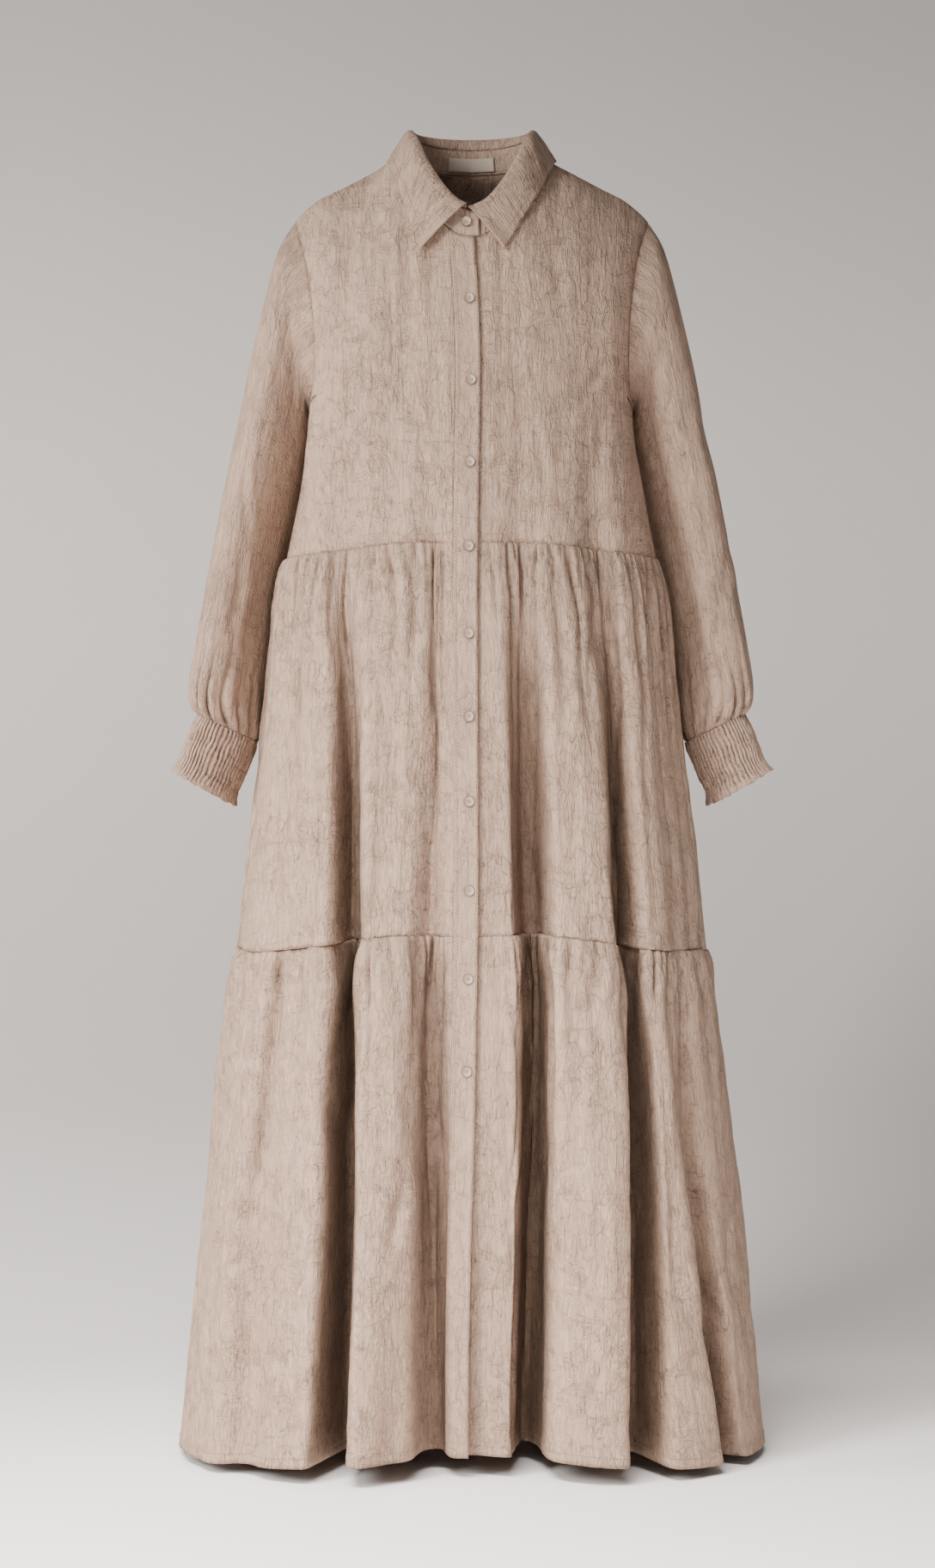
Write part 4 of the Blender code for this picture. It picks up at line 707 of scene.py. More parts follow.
class Nodes:
    """A short way to write a material's node tree."""

    def __init__(self, name, roughness, specular, sheen=0.0):
        self.material = bpy.data.materials.new(name)
        self.material.use_nodes = True
        self.tree = self.material.node_tree
        self.inputs = self.tree.nodes["Principled BSDF"].inputs
        self.inputs["Roughness"].default_value = roughness
        self.inputs["Sheen Weight"].default_value = sheen
        self.inputs["Sheen Roughness"].default_value = 0.5
        self.inputs["Specular IOR Level"].default_value = specular

    def add(self, kind, inputs=(), **values):
        node = self.tree.nodes.new(kind)
        for key, value in values.items():
            setattr(node, key, value)
        for key, value in dict(inputs).items():
            self.put(value, node.inputs[key])
        return node

    def put(self, value, socket):
        """Give a socket a plain value, or link a Value or another socket to it."""
        if isinstance(value, (int, float, tuple)):
            socket.default_value = value
        else:
            self.tree.links.new(getattr(value, "socket", value), socket)

    def value(self, socket):
        return Value(self, socket)

    def math(self, operation, a, b=0.0):
        return self.value(self.add("ShaderNodeMath", {0: a, 1: b}, operation=operation).outputs[0])

    def step(self, value, low, high):
        """A smooth step from 0 at low to 1 at high."""
        span = {"Value": value, "From Min": low, "From Max": high}
        node = self.add("ShaderNodeMapRange", span, interpolation_type="SMOOTHSTEP")
        return self.value(node.outputs["Result"])

    def sheet_uv(self, scale_u=1.0, scale_v=1.0):
        """The sheet's own coordinates in metres, scaled."""
        uv = self.add("ShaderNodeUVMap", uv_map="cut").outputs[0]
        return self.add("ShaderNodeMapping", {"Scale": (scale_u, scale_v, 1.0), "Vector": uv}).outputs[0]

    def noise(self, place, scale, detail=2.0, roughness=0.5):
        size = {"Vector": place, "Scale": scale, "Detail": detail, "Roughness": roughness}
        return self.value(self.add("ShaderNodeTexNoise", size, noise_dimensions="2D").outputs["Fac"])

    def split(self, vector):
        """A vector's three numbers."""
        return [self.value(s) for s in self.add("ShaderNodeSeparateXYZ", {0: vector}).outputs]

    def blend(self, share, low, high):
        """Two colours mixed, low at 0 and high at 1."""
        return self.add("ShaderNodeMix", {0: share, 6: low, 7: high}, data_type="RGBA").outputs[2]

    def scaled(self, colour, amount):
        return self.add("ShaderNodeVectorMath", {0: colour, "Scale": amount}, operation="SCALE").outputs[0]

    def bump(self, height, strength, distance):
        slope = {"Strength": strength, "Distance": distance, "Height": height}
        self.put(self.add("ShaderNodeBump", slope).outputs[0], self.inputs["Normal"])


def cell_centre(n, place, scale, jitter):
    """Local coordinates from the middle of a random cell, and that cell's random number."""
    cells = n.add("ShaderNodeTexVoronoi", {"Vector": place, "Scale": scale, "Randomness": jitter},
                  voronoi_dimensions="2D")
    away = n.add("ShaderNodeVectorMath", {0: place, 1: cells.outputs["Position"]}, operation="SUBTRACT")
    chance = n.add("ShaderNodeSeparateColor", {0: cells.outputs["Color"]})
    x, y, _ = n.split(away.outputs[0])
    return x, y, n.value(chance.outputs[0])


def drawn_line(n, distance, width):
    """1 on a drawn line and 0 away from it."""
    return 1.0 - n.step(distance.to("ABSOLUTE"), width * 0.3, width)


def flowers(n, place, scale, petals, radius, width, share):
    """Open flowers drawn in line: two rings of petals and a heart, in this share of the cells."""
    x, y, chance = cell_centre(n, place, scale, 0.85)
    r = (x * x + y * y).to("SQRT")
    angle = y.to("ARCTAN2", x) + chance * 6.28
    lobes = (angle * (petals / 2)).to("COSINE").to("ABSOLUTE")
    size = (0.75 + chance * 0.5) * radius
    ribs = 1.0 - n.step((angle * (petals * 1.5)).to("SINE").to("ABSOLUTE"), 0.0, 0.35)
    inside = n.step(r, radius * 0.26, radius * 0.34) * (1.0 - n.step(r, radius * 0.5, radius * 0.6))
    total = ribs * inside * 0.6
    for part, depth in ((1.0, 0.34), (0.62, 0.30), (0.27, 0.12)):
        rim = size * (part * (1 - depth) + lobes * (part * depth))
        total = total.to("MAXIMUM", drawn_line(n, r - rim, width))
    return total * chance.to("LESS_THAN", share)


def leaves(n, place, scale, length, breadth, width):
    """Pointed leaves drawn in line, each with a midrib and side veins."""
    x, y, chance = cell_centre(n, place, scale, 1.0)
    turn = chance * 6.28
    c, s = turn.to("COSINE"), turn.to("SINE")
    along = x * c + y * s
    off = (y * c - x * s) + along * along * (0.5 / length)
    share = along / length
    past = off.to("ABSOLUTE") - (1.0 - share * share) * breadth
    vein = n.step((along * 1500.0 + off.to("ABSOLUTE") * -1300.0).to("SINE"), 0.72, 0.98) * 0.55
    vein = vein * (1.0 - n.step(past, -0.0006, 0.0))
    lines = drawn_line(n, past, width).to("MAXIMUM", drawn_line(n, off, width)).to("MAXIMUM", vein)
    return lines * (1.0 - n.step(share.to("ABSOLUTE"), 0.96, 1.0))


def wrinkle_lines(n, place, scale, width):
    """A net of thin crumpled lines between irregular cells."""
    cells = n.add("ShaderNodeTexVoronoi", {"Vector": place, "Scale": scale, "Randomness": 1.0},
                  voronoi_dimensions="2D", feature="DISTANCE_TO_EDGE")
    return 1.0 - n.step(cells.outputs["Distance"], 0.0, width * scale)


def wobbled(n, place, scale, amount):
    """Coordinates pushed about by noise."""
    field = n.add("ShaderNodeTexNoise", {"Vector": place, "Scale": scale, "Detail": 3.0},
                  noise_dimensions="2D")
    push = {0: field.outputs["Color"], 1: (amount, amount, 0.0), 2: place}
    return n.add("ShaderNodeVectorMath", push, operation="MULTIPLY_ADD").outputs[0]


def ridges(n, place, scale, width):
    """Thin wandering lines, where a noise passes its middle value."""
    return drawn_line(n, n.noise(place, scale) - 0.5, width)


VALLEY_SHADE = (0.37, 0.34, 0.315)  # painted shade: the cloth's colour deep in a fold, as a share of itself
VALLEY_REACH = 0.06
VALLEY_SPAN = (0.22, 1.0)  # shares of open air between which the painted shade fades
BUMP_HEIGHT = 0.0013
GRAIN_HEIGHT = 0.0003


def drawn_pattern(n):
    """The tonal flowers, leaves and stems, stronger in some patches."""
    bent = wobbled(n, n.sheet_uv(), 55.0, 0.012)
    drawn = flowers(n, bent, 17.0, 6.0, 0.0185, 0.0008, 0.42)
    drawn = drawn.to("MAXIMUM", leaves(n, bent, 22.0, 0.019, 0.0060, 0.0007))
    drawn = drawn.to("MAXIMUM", leaves(n, bent, 36.0, 0.011, 0.0034, 0.0006))
    drawn = drawn.to("MAXIMUM", flowers(n, bent, 33.0, 5.0, 0.0072, 0.0007, 0.30))
    stems = ridges(n, wobbled(n, n.sheet_uv(1.0, 0.7), 30.0, 0.02), 19.0, 0.012)
    drawn = drawn.to("MAXIMUM", stems * 0.8)
    return drawn * (0.25 + n.step(n.noise(n.sheet_uv(), 12.0), 0.32, 0.56) * 0.75)


def linen_material(name, colour, pattern=1.0, crinkled=1.0):
    """Crinkled linen with slubs, a fine weave and tonal line-drawn flowers and leaves, with painted shade
    deep in its folds, in soft bands and in its crinkle's hollows.
    """
    n = Nodes(name, roughness=0.95, specular=0.12, sheen=0.05)
    n.inputs["Sheen Tint"].default_value = (*colour, 1.0)
    drawn = drawn_pattern(n) * pattern
    crumple = wobbled(n, n.sheet_uv(1.0, 0.5), 90.0, 0.010)
    lines = ridges(n, wobbled(n, n.sheet_uv(1.0, 0.13), 26.0, 0.02), 62.0, 0.030)
    lines = lines.to("MAXIMUM", ridges(n, n.sheet_uv(1.0, 0.18), 150.0, 0.045) * 0.8)
    net = wrinkle_lines(n, crumple, 95.0, 0.0009) + wrinkle_lines(n, crumple, 210.0, 0.0006) * 0.6
    net = net * n.step(n.noise(n.sheet_uv(), 30.0), 0.30, 0.55)
    ripple = n.noise(wobbled(n, n.sheet_uv(0.30, 1.0), 60.0, 0.004), 300.0)
    ripple = ripple * n.step(n.noise(n.sheet_uv(), 26.0), 0.42, 0.58)
    long_crinkle = n.noise(n.sheet_uv(1.0, 0.16), 115.0, 3.0, 0.6)
    fine_crinkle = n.noise(n.sheet_uv(1.0, 0.14), 380.0, 2.0, 0.6)
    stray = n.noise(n.sheet_uv(1.0, 0.5), 170.0, 3.0, 0.6)
    weave = n.noise(n.sheet_uv(1.0, 0.04), 1500.0, 1.0) + n.noise(n.sheet_uv(0.05, 1.0), 1300.0, 1.0)
    mottle = n.noise(n.sheet_uv(1.0, 0.55), 95.0, 3.0, 0.6) - 0.5
    # Painted shade: soft vertical bands, darker and lighter as over soft folds.
    shade_bands = n.noise(n.sheet_uv(1.0, 0.22), 34.0) - 0.5

    height = long_crinkle * (0.95 * crinkled) + fine_crinkle * (0.55 * crinkled) + stray * 0.75
    height = height + ripple * (0.80 * crinkled) + weave * 0.07 - net * 0.30 - drawn * 0.34
    n.bump(height - lines * (0.35 * crinkled), 1.0, BUMP_HEIGHT)

    # Painted shade of the relief: the tone is lighter on the crinkle's ridges and darker in its hollows,
    # along its lines and its net, and the bands are painted shade of soft folds. The weave, the drawn
    # pattern and the mottle are the cloth's own tone.
    tone_and_shade = weave * 0.24 + fine_crinkle * 0.66 + long_crinkle * 0.14 - drawn * 0.21 - net * 0.20
    tone_and_shade = tone_and_shade - lines * (0.06 * crinkled + 0.02) + mottle * 0.18 + shade_bands * 0.26 + 0.58
    # Painted shade in the folds: the colour darkens towards VALLEY_SHADE where the cloth's own folds close
    # in round it.
    open_air = n.add("ShaderNodeAmbientOcclusion", {"Distance": VALLEY_REACH}, samples=4,
                     only_local=True)
    painted_valley_shade = tuple(c * d for c, d in zip(colour, VALLEY_SHADE))
    shaded = n.blend(n.step(open_air.outputs["AO"], *VALLEY_SPAN), (*painted_valley_shade, 1.0), (*colour, 1.0))
    n.put(n.scaled(shaded, tone_and_shade), n.inputs["Base Color"])
    return n.material


def speckled(name, colour, roughness, scale, depth, sheen=0.0, specular=0.4, rim=None):
    """A plain finish with a fine random grain, and painted shade in a darker rim colour on the sides of a
    flat thing.
    """
    n = Nodes(name, roughness=roughness, specular=specular, sheen=sheen)
    place = n.add("ShaderNodeTexCoord").outputs
    grain = n.add("ShaderNodeTexNoise", {"Vector": place["Object"], "Scale": scale, "Detail": 3.0})
    grain = n.value(grain.outputs["Fac"])
    face = n.scaled(colour, grain * depth + (1.0 - depth / 2))
    if rim:
        # Painted shade: where the normal turns away from the object's up, on the sides, the colour goes to
        # the rim colour.
        facing = n.split(place["Normal"])[2]
        face = n.blend(n.step(facing, 0.45, 0.92), (*rim, 1.0), face)
    n.put(face, n.inputs["Base Color"])
    n.bump(grain, 0.3, GRAIN_HEIGHT)
    return n.material


LINEN_COLOUR = (0.340, 0.236, 0.176)
linen = linen_material("linen_cloth", LINEN_COLOUR)
plain_linen = linen_material("linen_band", LINEN_COLOUR, pattern=0.55, crinkled=0.35)
thread = speckled("linen_thread", (0.24, 0.155, 0.11), 0.8, 900.0, 0.3, sheen=0.1)
# The button's sides take a dark painted shade as their rim colour.
shell_like = speckled("button_resin", (0.46, 0.345, 0.265), 0.35, 260.0, 0.12, specular=0.5,
                      rim=(0.085, 0.052, 0.036))
tape = speckled("label_tape", (0.50, 0.415, 0.345), 0.75, 700.0, 0.14, sheen=0.2)


# ---------------------------------------------------------------- making cloth


def mesh_grid(name, points, across, down, closed):
    """A mesh on a grid of points, with the cut cloth's own coordinates in metres as its UVs."""
    rows, columns = points.shape[:2]
    across, down = (np.broadcast_to(a, (rows, columns)).astype(float) for a in (across, down))
    index = np.arange(rows * columns).reshape(rows, columns)
    if closed:
        across = np.concatenate([across, across[:, -1:] * columns / (columns - 1)], axis=1)
        index, down = (np.concatenate([a, a[:, :1]], axis=1) for a in (index, down))

    def corners(grid):
        return np.stack([grid[:-1, :-1], grid[1:, :-1], grid[1:, 1:], grid[:-1, 1:]], axis=-1)

    quads = corners(index).reshape(-1, 4)
    mesh = bpy.data.meshes.new(name)
    mesh.vertices.add(rows * columns)
    mesh.vertices.foreach_set("co", points.reshape(-1))
    mesh.loops.add(quads.size)
    mesh.loops.foreach_set("vertex_index", quads.reshape(-1).astype(np.int32))
    mesh.polygons.add(len(quads))
    mesh.polygons.foreach_set("loop_start", np.arange(0, quads.size, 4, dtype=np.int32))
    mesh.polygons.foreach_set("use_smooth", np.ones(len(quads), bool))
    places = np.stack([corners(across), corners(down)], axis=-1)
    uv = mesh.uv_layers.new(name="cut")
    uv.data.foreach_set("uv", places.reshape(-1).astype(np.float32))
    mesh.update()
    mesh.validate()
    return mesh


def built(build, name):
    """The mesh of a bmesh, which is freed."""
    mesh = bpy.data.meshes.new(name)
    build.to_mesh(mesh)
    build.free()
    return mesh


def shown(name, data):
    """An object in the scene."""
    thing = bpy.data.objects.new(name, data)
    bpy.context.scene.collection.objects.link(thing)
    return thing


def cloth(node, points, across, down, material=linen, thickness=SHELL,
          closed=False, kind="cloth"):
    """A piece of sewn cloth: its shell, put in place of the node it stands for, whose solid is hidden."""
    name = f"{node}_{kind}"
    mesh = mesh_grid(name, points, across, down, closed)
    mesh.materials.append(material)
    piece = shown(name, mesh)
    wall = piece.modifiers.new("wall", "SOLIDIFY")
    wall.thickness = thickness
    wall.offset = 0.0
    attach(piece, "root")
    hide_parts(node)


def arc_lengths(points):
    """How far along each row of a grid its points lie, averaged over the rows."""
    steps = np.linalg.norm(np.diff(points, axis=1), axis=-1)
    along = np.concatenate([np.zeros((len(points), 1)), np.cumsum(steps, axis=1)], axis=1)
    return along.mean(axis=0)[None, :]


def between(at, known, points):
    """Points at some places on the straight lines between those at the known places."""
    return np.stack([np.interp(at, known, points[:, k]) for k in range(3)], axis=-1)


def on_ring(at, ring):
    """The same on a closed ring, by the number of its points."""
    return between(at, np.arange(len(ring) + 1), np.concatenate([ring, ring[:1]]))


def stitched(name, path, normals, length=STITCH_LENGTH):
    """A row of stitches along a path on cloth, as short flat bars in one mesh."""
    steps = np.linalg.norm(np.diff(path, axis=0), axis=1)
    along = np.concatenate([[0.0], np.cumsum(steps)])
    build = bmesh.new()
    for start in np.arange(0.0, along[-1] - length, length + STITCH_GAP):
        at = np.array([start, start + length])
        first, last = between(at, along, path)
        outs = unit(between(at, along, normals))
        sides = np.cross(outs, unit(last - first)) * STITCH_WIDTH
        crown = (first + last) / 2 + outs[0] * STITCH_LIFT
        spots = (first + sides[0], first - sides[0], last + sides[1], last - sides[1],
                 crown + sides[0] * 0.7, crown - sides[0] * 0.7)
        a, b, c, d, e, f = (build.verts.new(spot) for spot in spots)
        for face in ((a, b, f, e), (e, f, d, c), (a, e, c), (b, d, f)):
            build.faces.new(face)
    mesh = built(build, name)
    mesh.materials.append(thread)
    piece = shown(name, mesh)
    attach(piece, "root")


# ---------------------------------------------------------------- the tiers


def fine_angles(levels, counts):
    """Fine angles round the body at each level: worked out at a few, and between them in line."""
    known_levels = np.linspace(levels[0], levels[-1], ANGLE_LEVELS)
    fine_counts = [count * FINE for count in counts]
    known = [spread_angles(anchors(z), fine_counts, z, samples=ANGLE_SAMPLES) for z in known_levels]
    known = np.array(known)
    at = (levels[0] - levels) / (levels[0] - levels[-1]) * (ANGLE_LEVELS - 1)
    i = np.clip(at.astype(int), 0, ANGLE_LEVELS - 2)
    t = (at - i)[:, None]
    return known[i] * (1 - t) + known[i + 1] * t


def pillows(place):
    """Gathers in section, 1 on their round tops and -1 in the sharp valleys at even columns."""
    return 1.0 - 2.0 * (1.0 - np.abs(np.sin(math.pi * place / 2.0))) ** 1.4


GATHER_STRENGTHS = (0.35, 1.35)  # the least and most of the table's height
GATHER_LENGTHS = (0.5, 2.2)
PUFF_SHARE = 0.45
FINER_GATHERS = 2.6  # of them for each gather of the solid
FINER_DEPTH = 0.0020
FINER_SPAN = (0.004, 0.105)  # below the seam, where they die away
LONG_FOLD_PITCH = 0.72  # the folds that run on below the gathers, beside the gathers' pitch
LONG_FOLD_DEPTH = 0.0026


def gathered(columns, below, seed):
    """How far gathered cloth stands out, by the column of the solid and the way below its seam."""
    rng = np.random.default_rng(seed)
    count = int(columns.max()) + 3
    strengths = rng.uniform(*GATHER_STRENGTHS, count)
    lengths = rng.uniform(*GATHER_LENGTHS, count)
    place = columns + noise(columns, below, 4.0, 0.07, seed + 5) * 0.5
    strength = np.interp(place, np.arange(count), strengths)
    reach = np.interp(place, np.arange(count), lengths)
    out = pillows(place) * strength * read(GATHERS, "height", below / reach) * 1.1
    finer = place * FINER_GATHERS + noise(columns, below, 3.0, 0.05, seed + 6) * 1.5
    reach = np.interp(place * 1.7, np.arange(2 * count), rng.uniform(0.3, 1.6, 2 * count))
    out = out + pillows(finer) * FINER_DEPTH * (1.0 - ease(*FINER_SPAN, below / reach))
    drift = noise(columns, below, 6.0, 0.16, seed + 7) * 1.4
    strength = 0.6 + 0.6 * noise(columns, below, 5.0, 0.30, seed + 8)
    folds = pillows(place * LONG_FOLD_PITCH + drift) * np.clip(strength, 0.1, None)
    fade = ease(0.0, 0.05, below)
    out = out + folds * LONG_FOLD_DEPTH * fade * (1.0 - 0.35 * ease(0.1, 0.5, below))
    return out + read(GATHERS, "puff", below) * PUFF_SHARE


SEAM_TUCK = 0.0010  # how far the first row is tucked in under the piece above
HEM_FOLD = 0.0004  # how far the folded hem stands out
HEM_FOLD_SPAN = (0.0125, 0.0115)  # above the hem, where it starts
HEM_SWAY = 0.0016


def make_tier(name, top, length, counts, seed, table, hemmed):
    """A tier's three pieces, with gathers below their seam."""
    rows = int(round(length / ROW_STEP))
    below = np.concatenate([SEAM_ROWS, np.linspace(ROW_STEP, length, rows)])
    angles = fine_angles(top - below, counts)
    v = below[:, None]
    points = skin(angles, top - v)
    normals = normals_of(points)
    columns = np.arange(angles.shape[1])[None, :] / FINE
    u = arc_lengths(points)
    edge = ease(0, FLAT_COLUMNS, np.minimum(columns, columns.max() - columns))
    out = gathered(columns * np.ones_like(v), v * np.ones_like(columns), seed)
    out = out + crinkle(u, v, seed + 10) * ease(0.0, 0.06, v) + creases(points, table)
    tuck = -SEAM_TUCK * (v == 0.0)
    points = points + normals * (out * edge * (v > 0.0) + tuck)[..., None]
    points[0, :, 2] += UNDERLAP
    if hemmed:
        points[..., 2] += noise(u, v, 0.11, 1.0, seed + 30) * HEM_SWAY * ease(0.45, 0.55, v)
        fold = HEM_FOLD * ease(*(length - z for z in HEM_FOLD_SPAN), v)
        normals = normals_of(points)
        points = points + normals * fold[..., None]
    marks = [sum(counts[:m]) * FINE for m in SIDE_MARKS]
    spans = ((0, marks[0] + 1), (marks[0], marks[1] + 1), (marks[1], None))
    for part, span in zip(("front_left", "back", "front_right"), spans):
        span = slice(*span)
        panel = points[:, span]
        if part == "front_left":
            panel = under_layer(panel)
        cloth(f"{name}_{part}", panel, u[:, span], v)
        if hemmed:
            ahead = normals[-3, span]
            stitched(f"{name}_{part}_hem_stitches", panel[-3] + ahead * SHELL * 0.55, ahead,
                     length=HEM_STITCH)


MIDDLE_CREASES = {
    "front": (
        (-0.178, -0.47, -0.150, -0.66, 0.0022, 0.006),
        (-0.110, -0.50, -0.085, -0.68, 0.0020, 0.006),
        (-0.070, -0.56, -0.088, -0.74, 0.0018, 0.005),
        (0.085, -0.46, 0.105, -0.64, 0.0022, 0.006),
        (0.120, -0.62, 0.098, -0.80, 0.0018, 0.005),
        (0.165, -0.47, 0.190, -0.62, 0.0020, 0.006),
    ),
    "back": (
        (-0.160, -0.48, -0.130, -0.68, 0.0022, 0.006),
        (-0.020, -0.47, 0.010, -0.70, 0.0022, 0.006),
        (0.110, -0.50, 0.090, -0.72, 0.0020, 0.006),
    ),
}
LOWER_CREASES = {
    "front": (
        (-0.060, -1.080, -0.103, -1.200, 0.0034, 0.006),
        (0.155, -1.265, 0.090, -1.365, 0.0034, 0.005),
        (0.140, -1.250, 0.075, -1.330, 0.0024, 0.004),
        (-0.215, -0.950, -0.240, -1.200, 0.0022, 0.006),
        (0.120, -0.900, 0.100, -1.080, 0.0020, 0.006),
        (0.215, -0.920, 0.235, -1.150, 0.0024, 0.006),
        (-0.200, -1.240, -0.175, -1.380, 0.0022, 0.006),
        (0.030, -1.000, 0.045, -1.180, 0.0020, 0.005),
    ),
    "back": (
        (-0.120, -0.92, -0.100, -1.16, 0.0026, 0.006),
        (0.110, -1.02, 0.140, -1.24, 0.0026, 0.006),
        (0.010, -1.10, -0.030, -1.28, 0.0028, 0.005),
    ),
}
make_tier("tier_middle", WAIST_SEAM - SEAM_GAP, MIDDLE_LENGTH - 2 * SEAM_GAP, MIDDLE_COLUMNS, 21,
          MIDDLE_CREASES, hemmed=False)
make_tier("tier_lower", TIER_SEAM - SEAM_GAP, LOWER_LENGTH - SEAM_GAP, LOWER_COLUMNS, 47,
          LOWER_CREASES, hemmed=True)


# ---------------------------------------------------------------- the bodice

BODICE_SEEDS = {"front_left": 500, "front_right": 600, "back": 700}
BODICE_SIDES = {"front_left": (-1,), "front_right": (0,), "back": (0, -1)}  # outer columns
BODICE_CREASES = {
    "front_left": {"front": (
        (0.150, -0.20, 0.100, -0.30, 0.0024, 0.006),
        (0.155, -0.25, 0.115, -0.38, 0.0020, 0.006),
        (0.080, -0.08, 0.100, -0.20, 0.0022, 0.006),
        (0.060, -0.24, 0.075, -0.38, 0.0018, 0.006),
    )},
    "front_right": {"front": (
        (-0.150, -0.19, -0.110, -0.30, 0.0024, 0.006),
        (-0.150, -0.26, -0.120, -0.39, 0.0020, 0.006),
        (-0.100, -0.06, -0.088, -0.19, 0.0024, 0.006),
        (-0.070, -0.22, -0.050, -0.37, 0.0018, 0.006),
    )},
    "back": {"back": (
        (0.150, -0.19, 0.105, -0.31, 0.0024, 0.006),
        (-0.150, -0.20, -0.105, -0.32, 0.0024, 0.006),
        (0.020, -0.08, 0.030, -0.26, 0.0020, 0.006),
        (-0.060, -0.14, -0.040, -0.34, 0.0020, 0.006),
    )},
}


def make_bodice():
    """The bodice's three pieces. The points and normals round each armhole come back."""
    halves = [bodice_grid("back_left")[:, ::-1], bodice_grid("back_right")[:, 1:]]
    grids = {
        "front_left": under_layer(bodice_grid("front_left")),
        "front_right": bodice_grid("front_right")[:, ::-1],
        "back": np.concatenate(halves, axis=1),
    }
    below_arm = slice(ARMHOLE_ROWS, None)
    made = {}
    for part, grid in grids.items():
        normals = normals_of(grid)
        for side in BODICE_SIDES[part]:
            shoulder = slice(-SHOULDER_COLUMNS - 1, None) if side else slice(SHOULDER_COLUMNS + 1)
            normals[0, shoulder] = across_seam(normals[0, shoulder], (0, 1, 0))
            normals[below_arm, side] = across_seam(normals[below_arm, side], (0, 1, 0))
        u, v = grid[..., 0] + 0.3, 0.06 - grid[..., 2]
        rows, columns = np.arange(grid.shape[0])[:, None], np.arange(grid.shape[1])[None, :]
        fade = ease(0, 5, rows) * ease(0, 4, rows[::-1])
        fade = fade * ease(0, 5, np.minimum(columns, columns[:, ::-1]))
        out = crinkle(u, v, BODICE_SEEDS[part]) + creases(grid, BODICE_CREASES[part])
        grid = grid + normals * (out * fade)[..., None]
        normals = normals_of(grid)
        grid[-1] -= normals[-1] * SEAM_GAP
        made[part] = (grid, normals)
        cloth(f"bodice_{part}", grid, u, v)
    rings = {}
    for side, ahead, behind in (("left", -1, 0), ("right", 0, -1)):
        front = (a[: ARMHOLE_ROWS + 1, ahead] for a in made[f"front_{side}"])
        back = (a[ARMHOLE_ROWS - 1: 0: -1, behind] for a in made["back"])
        rings[side] = [np.concatenate(pair) for pair in zip(front, back)]
    return rings


armholes = make_bodice()


# ---------------------------------------------------------------- the sleeves and cuffs

SLEEVE_STEPS = 112
SLEEVE_AROUND = 208
SLEEVE_FLAT = (0.42, 0.53)
SLEEVE_SEEDS = {"left": (3, 307), "right": (4, 293)}  # of the gathers and of the crinkle
SLEEVE_STRENGTHS = (0.25, 1.45)
SLEEVE_REACH = 0.62
HEAD_GATHER = 0.0008
CUFF_TUCK = 0.0010
SLEEVE_CREASES = {
    "left": {
        "front": (
            (0.250, -0.20, 0.270, -0.34, 0.0026, 0.006),
            (0.240, -0.33, 0.262, -0.46, 0.0022, 0.005),
            (0.288, -0.40, 0.262, -0.50, 0.0020, 0.005),
        ),
        "back": (
            (0.220, -0.24, 0.255, -0.38, 0.0030, 0.006),
            (0.262, -0.38, 0.240, -0.50, 0.0026, 0.005),
        ),
    },
    "right": {
        "front": (
            (-0.230, -0.18, -0.252, -0.32, 0.0026, 0.006),
            (-0.262, -0.30, -0.238, -0.42, 0.0024, 0.005),
            (-0.246, -0.40, -0.268, -0.52, 0.0020, 0.005),
        ),
        "back": (
            (-0.220, -0.22, -0.250, -0.37, 0.0030, 0.006),
            (-0.270, -0.36, -0.246, -0.50, 0.0026, 0.005),
        ),
    },
}


def smooth_rings(rings, steps):
    """Rings between the given ones, on smooth curves down the arm."""
    slopes = np.gradient(rings, axis=0)
    at = np.linspace(0, len(rings) - 1, steps)
    i = np.clip(at.astype(int), 0, len(rings) - 2)
    t = (at - i)[:, None, None]
    return (
        (1 + 2 * t) * (1 - t) ** 2 * rings[i]
        + t * (1 - t) ** 2 * slopes[i]
        + t**2 * (3 - 2 * t) * rings[i + 1]
        + t**2 * (t - 1) * slopes[i + 1]
    )


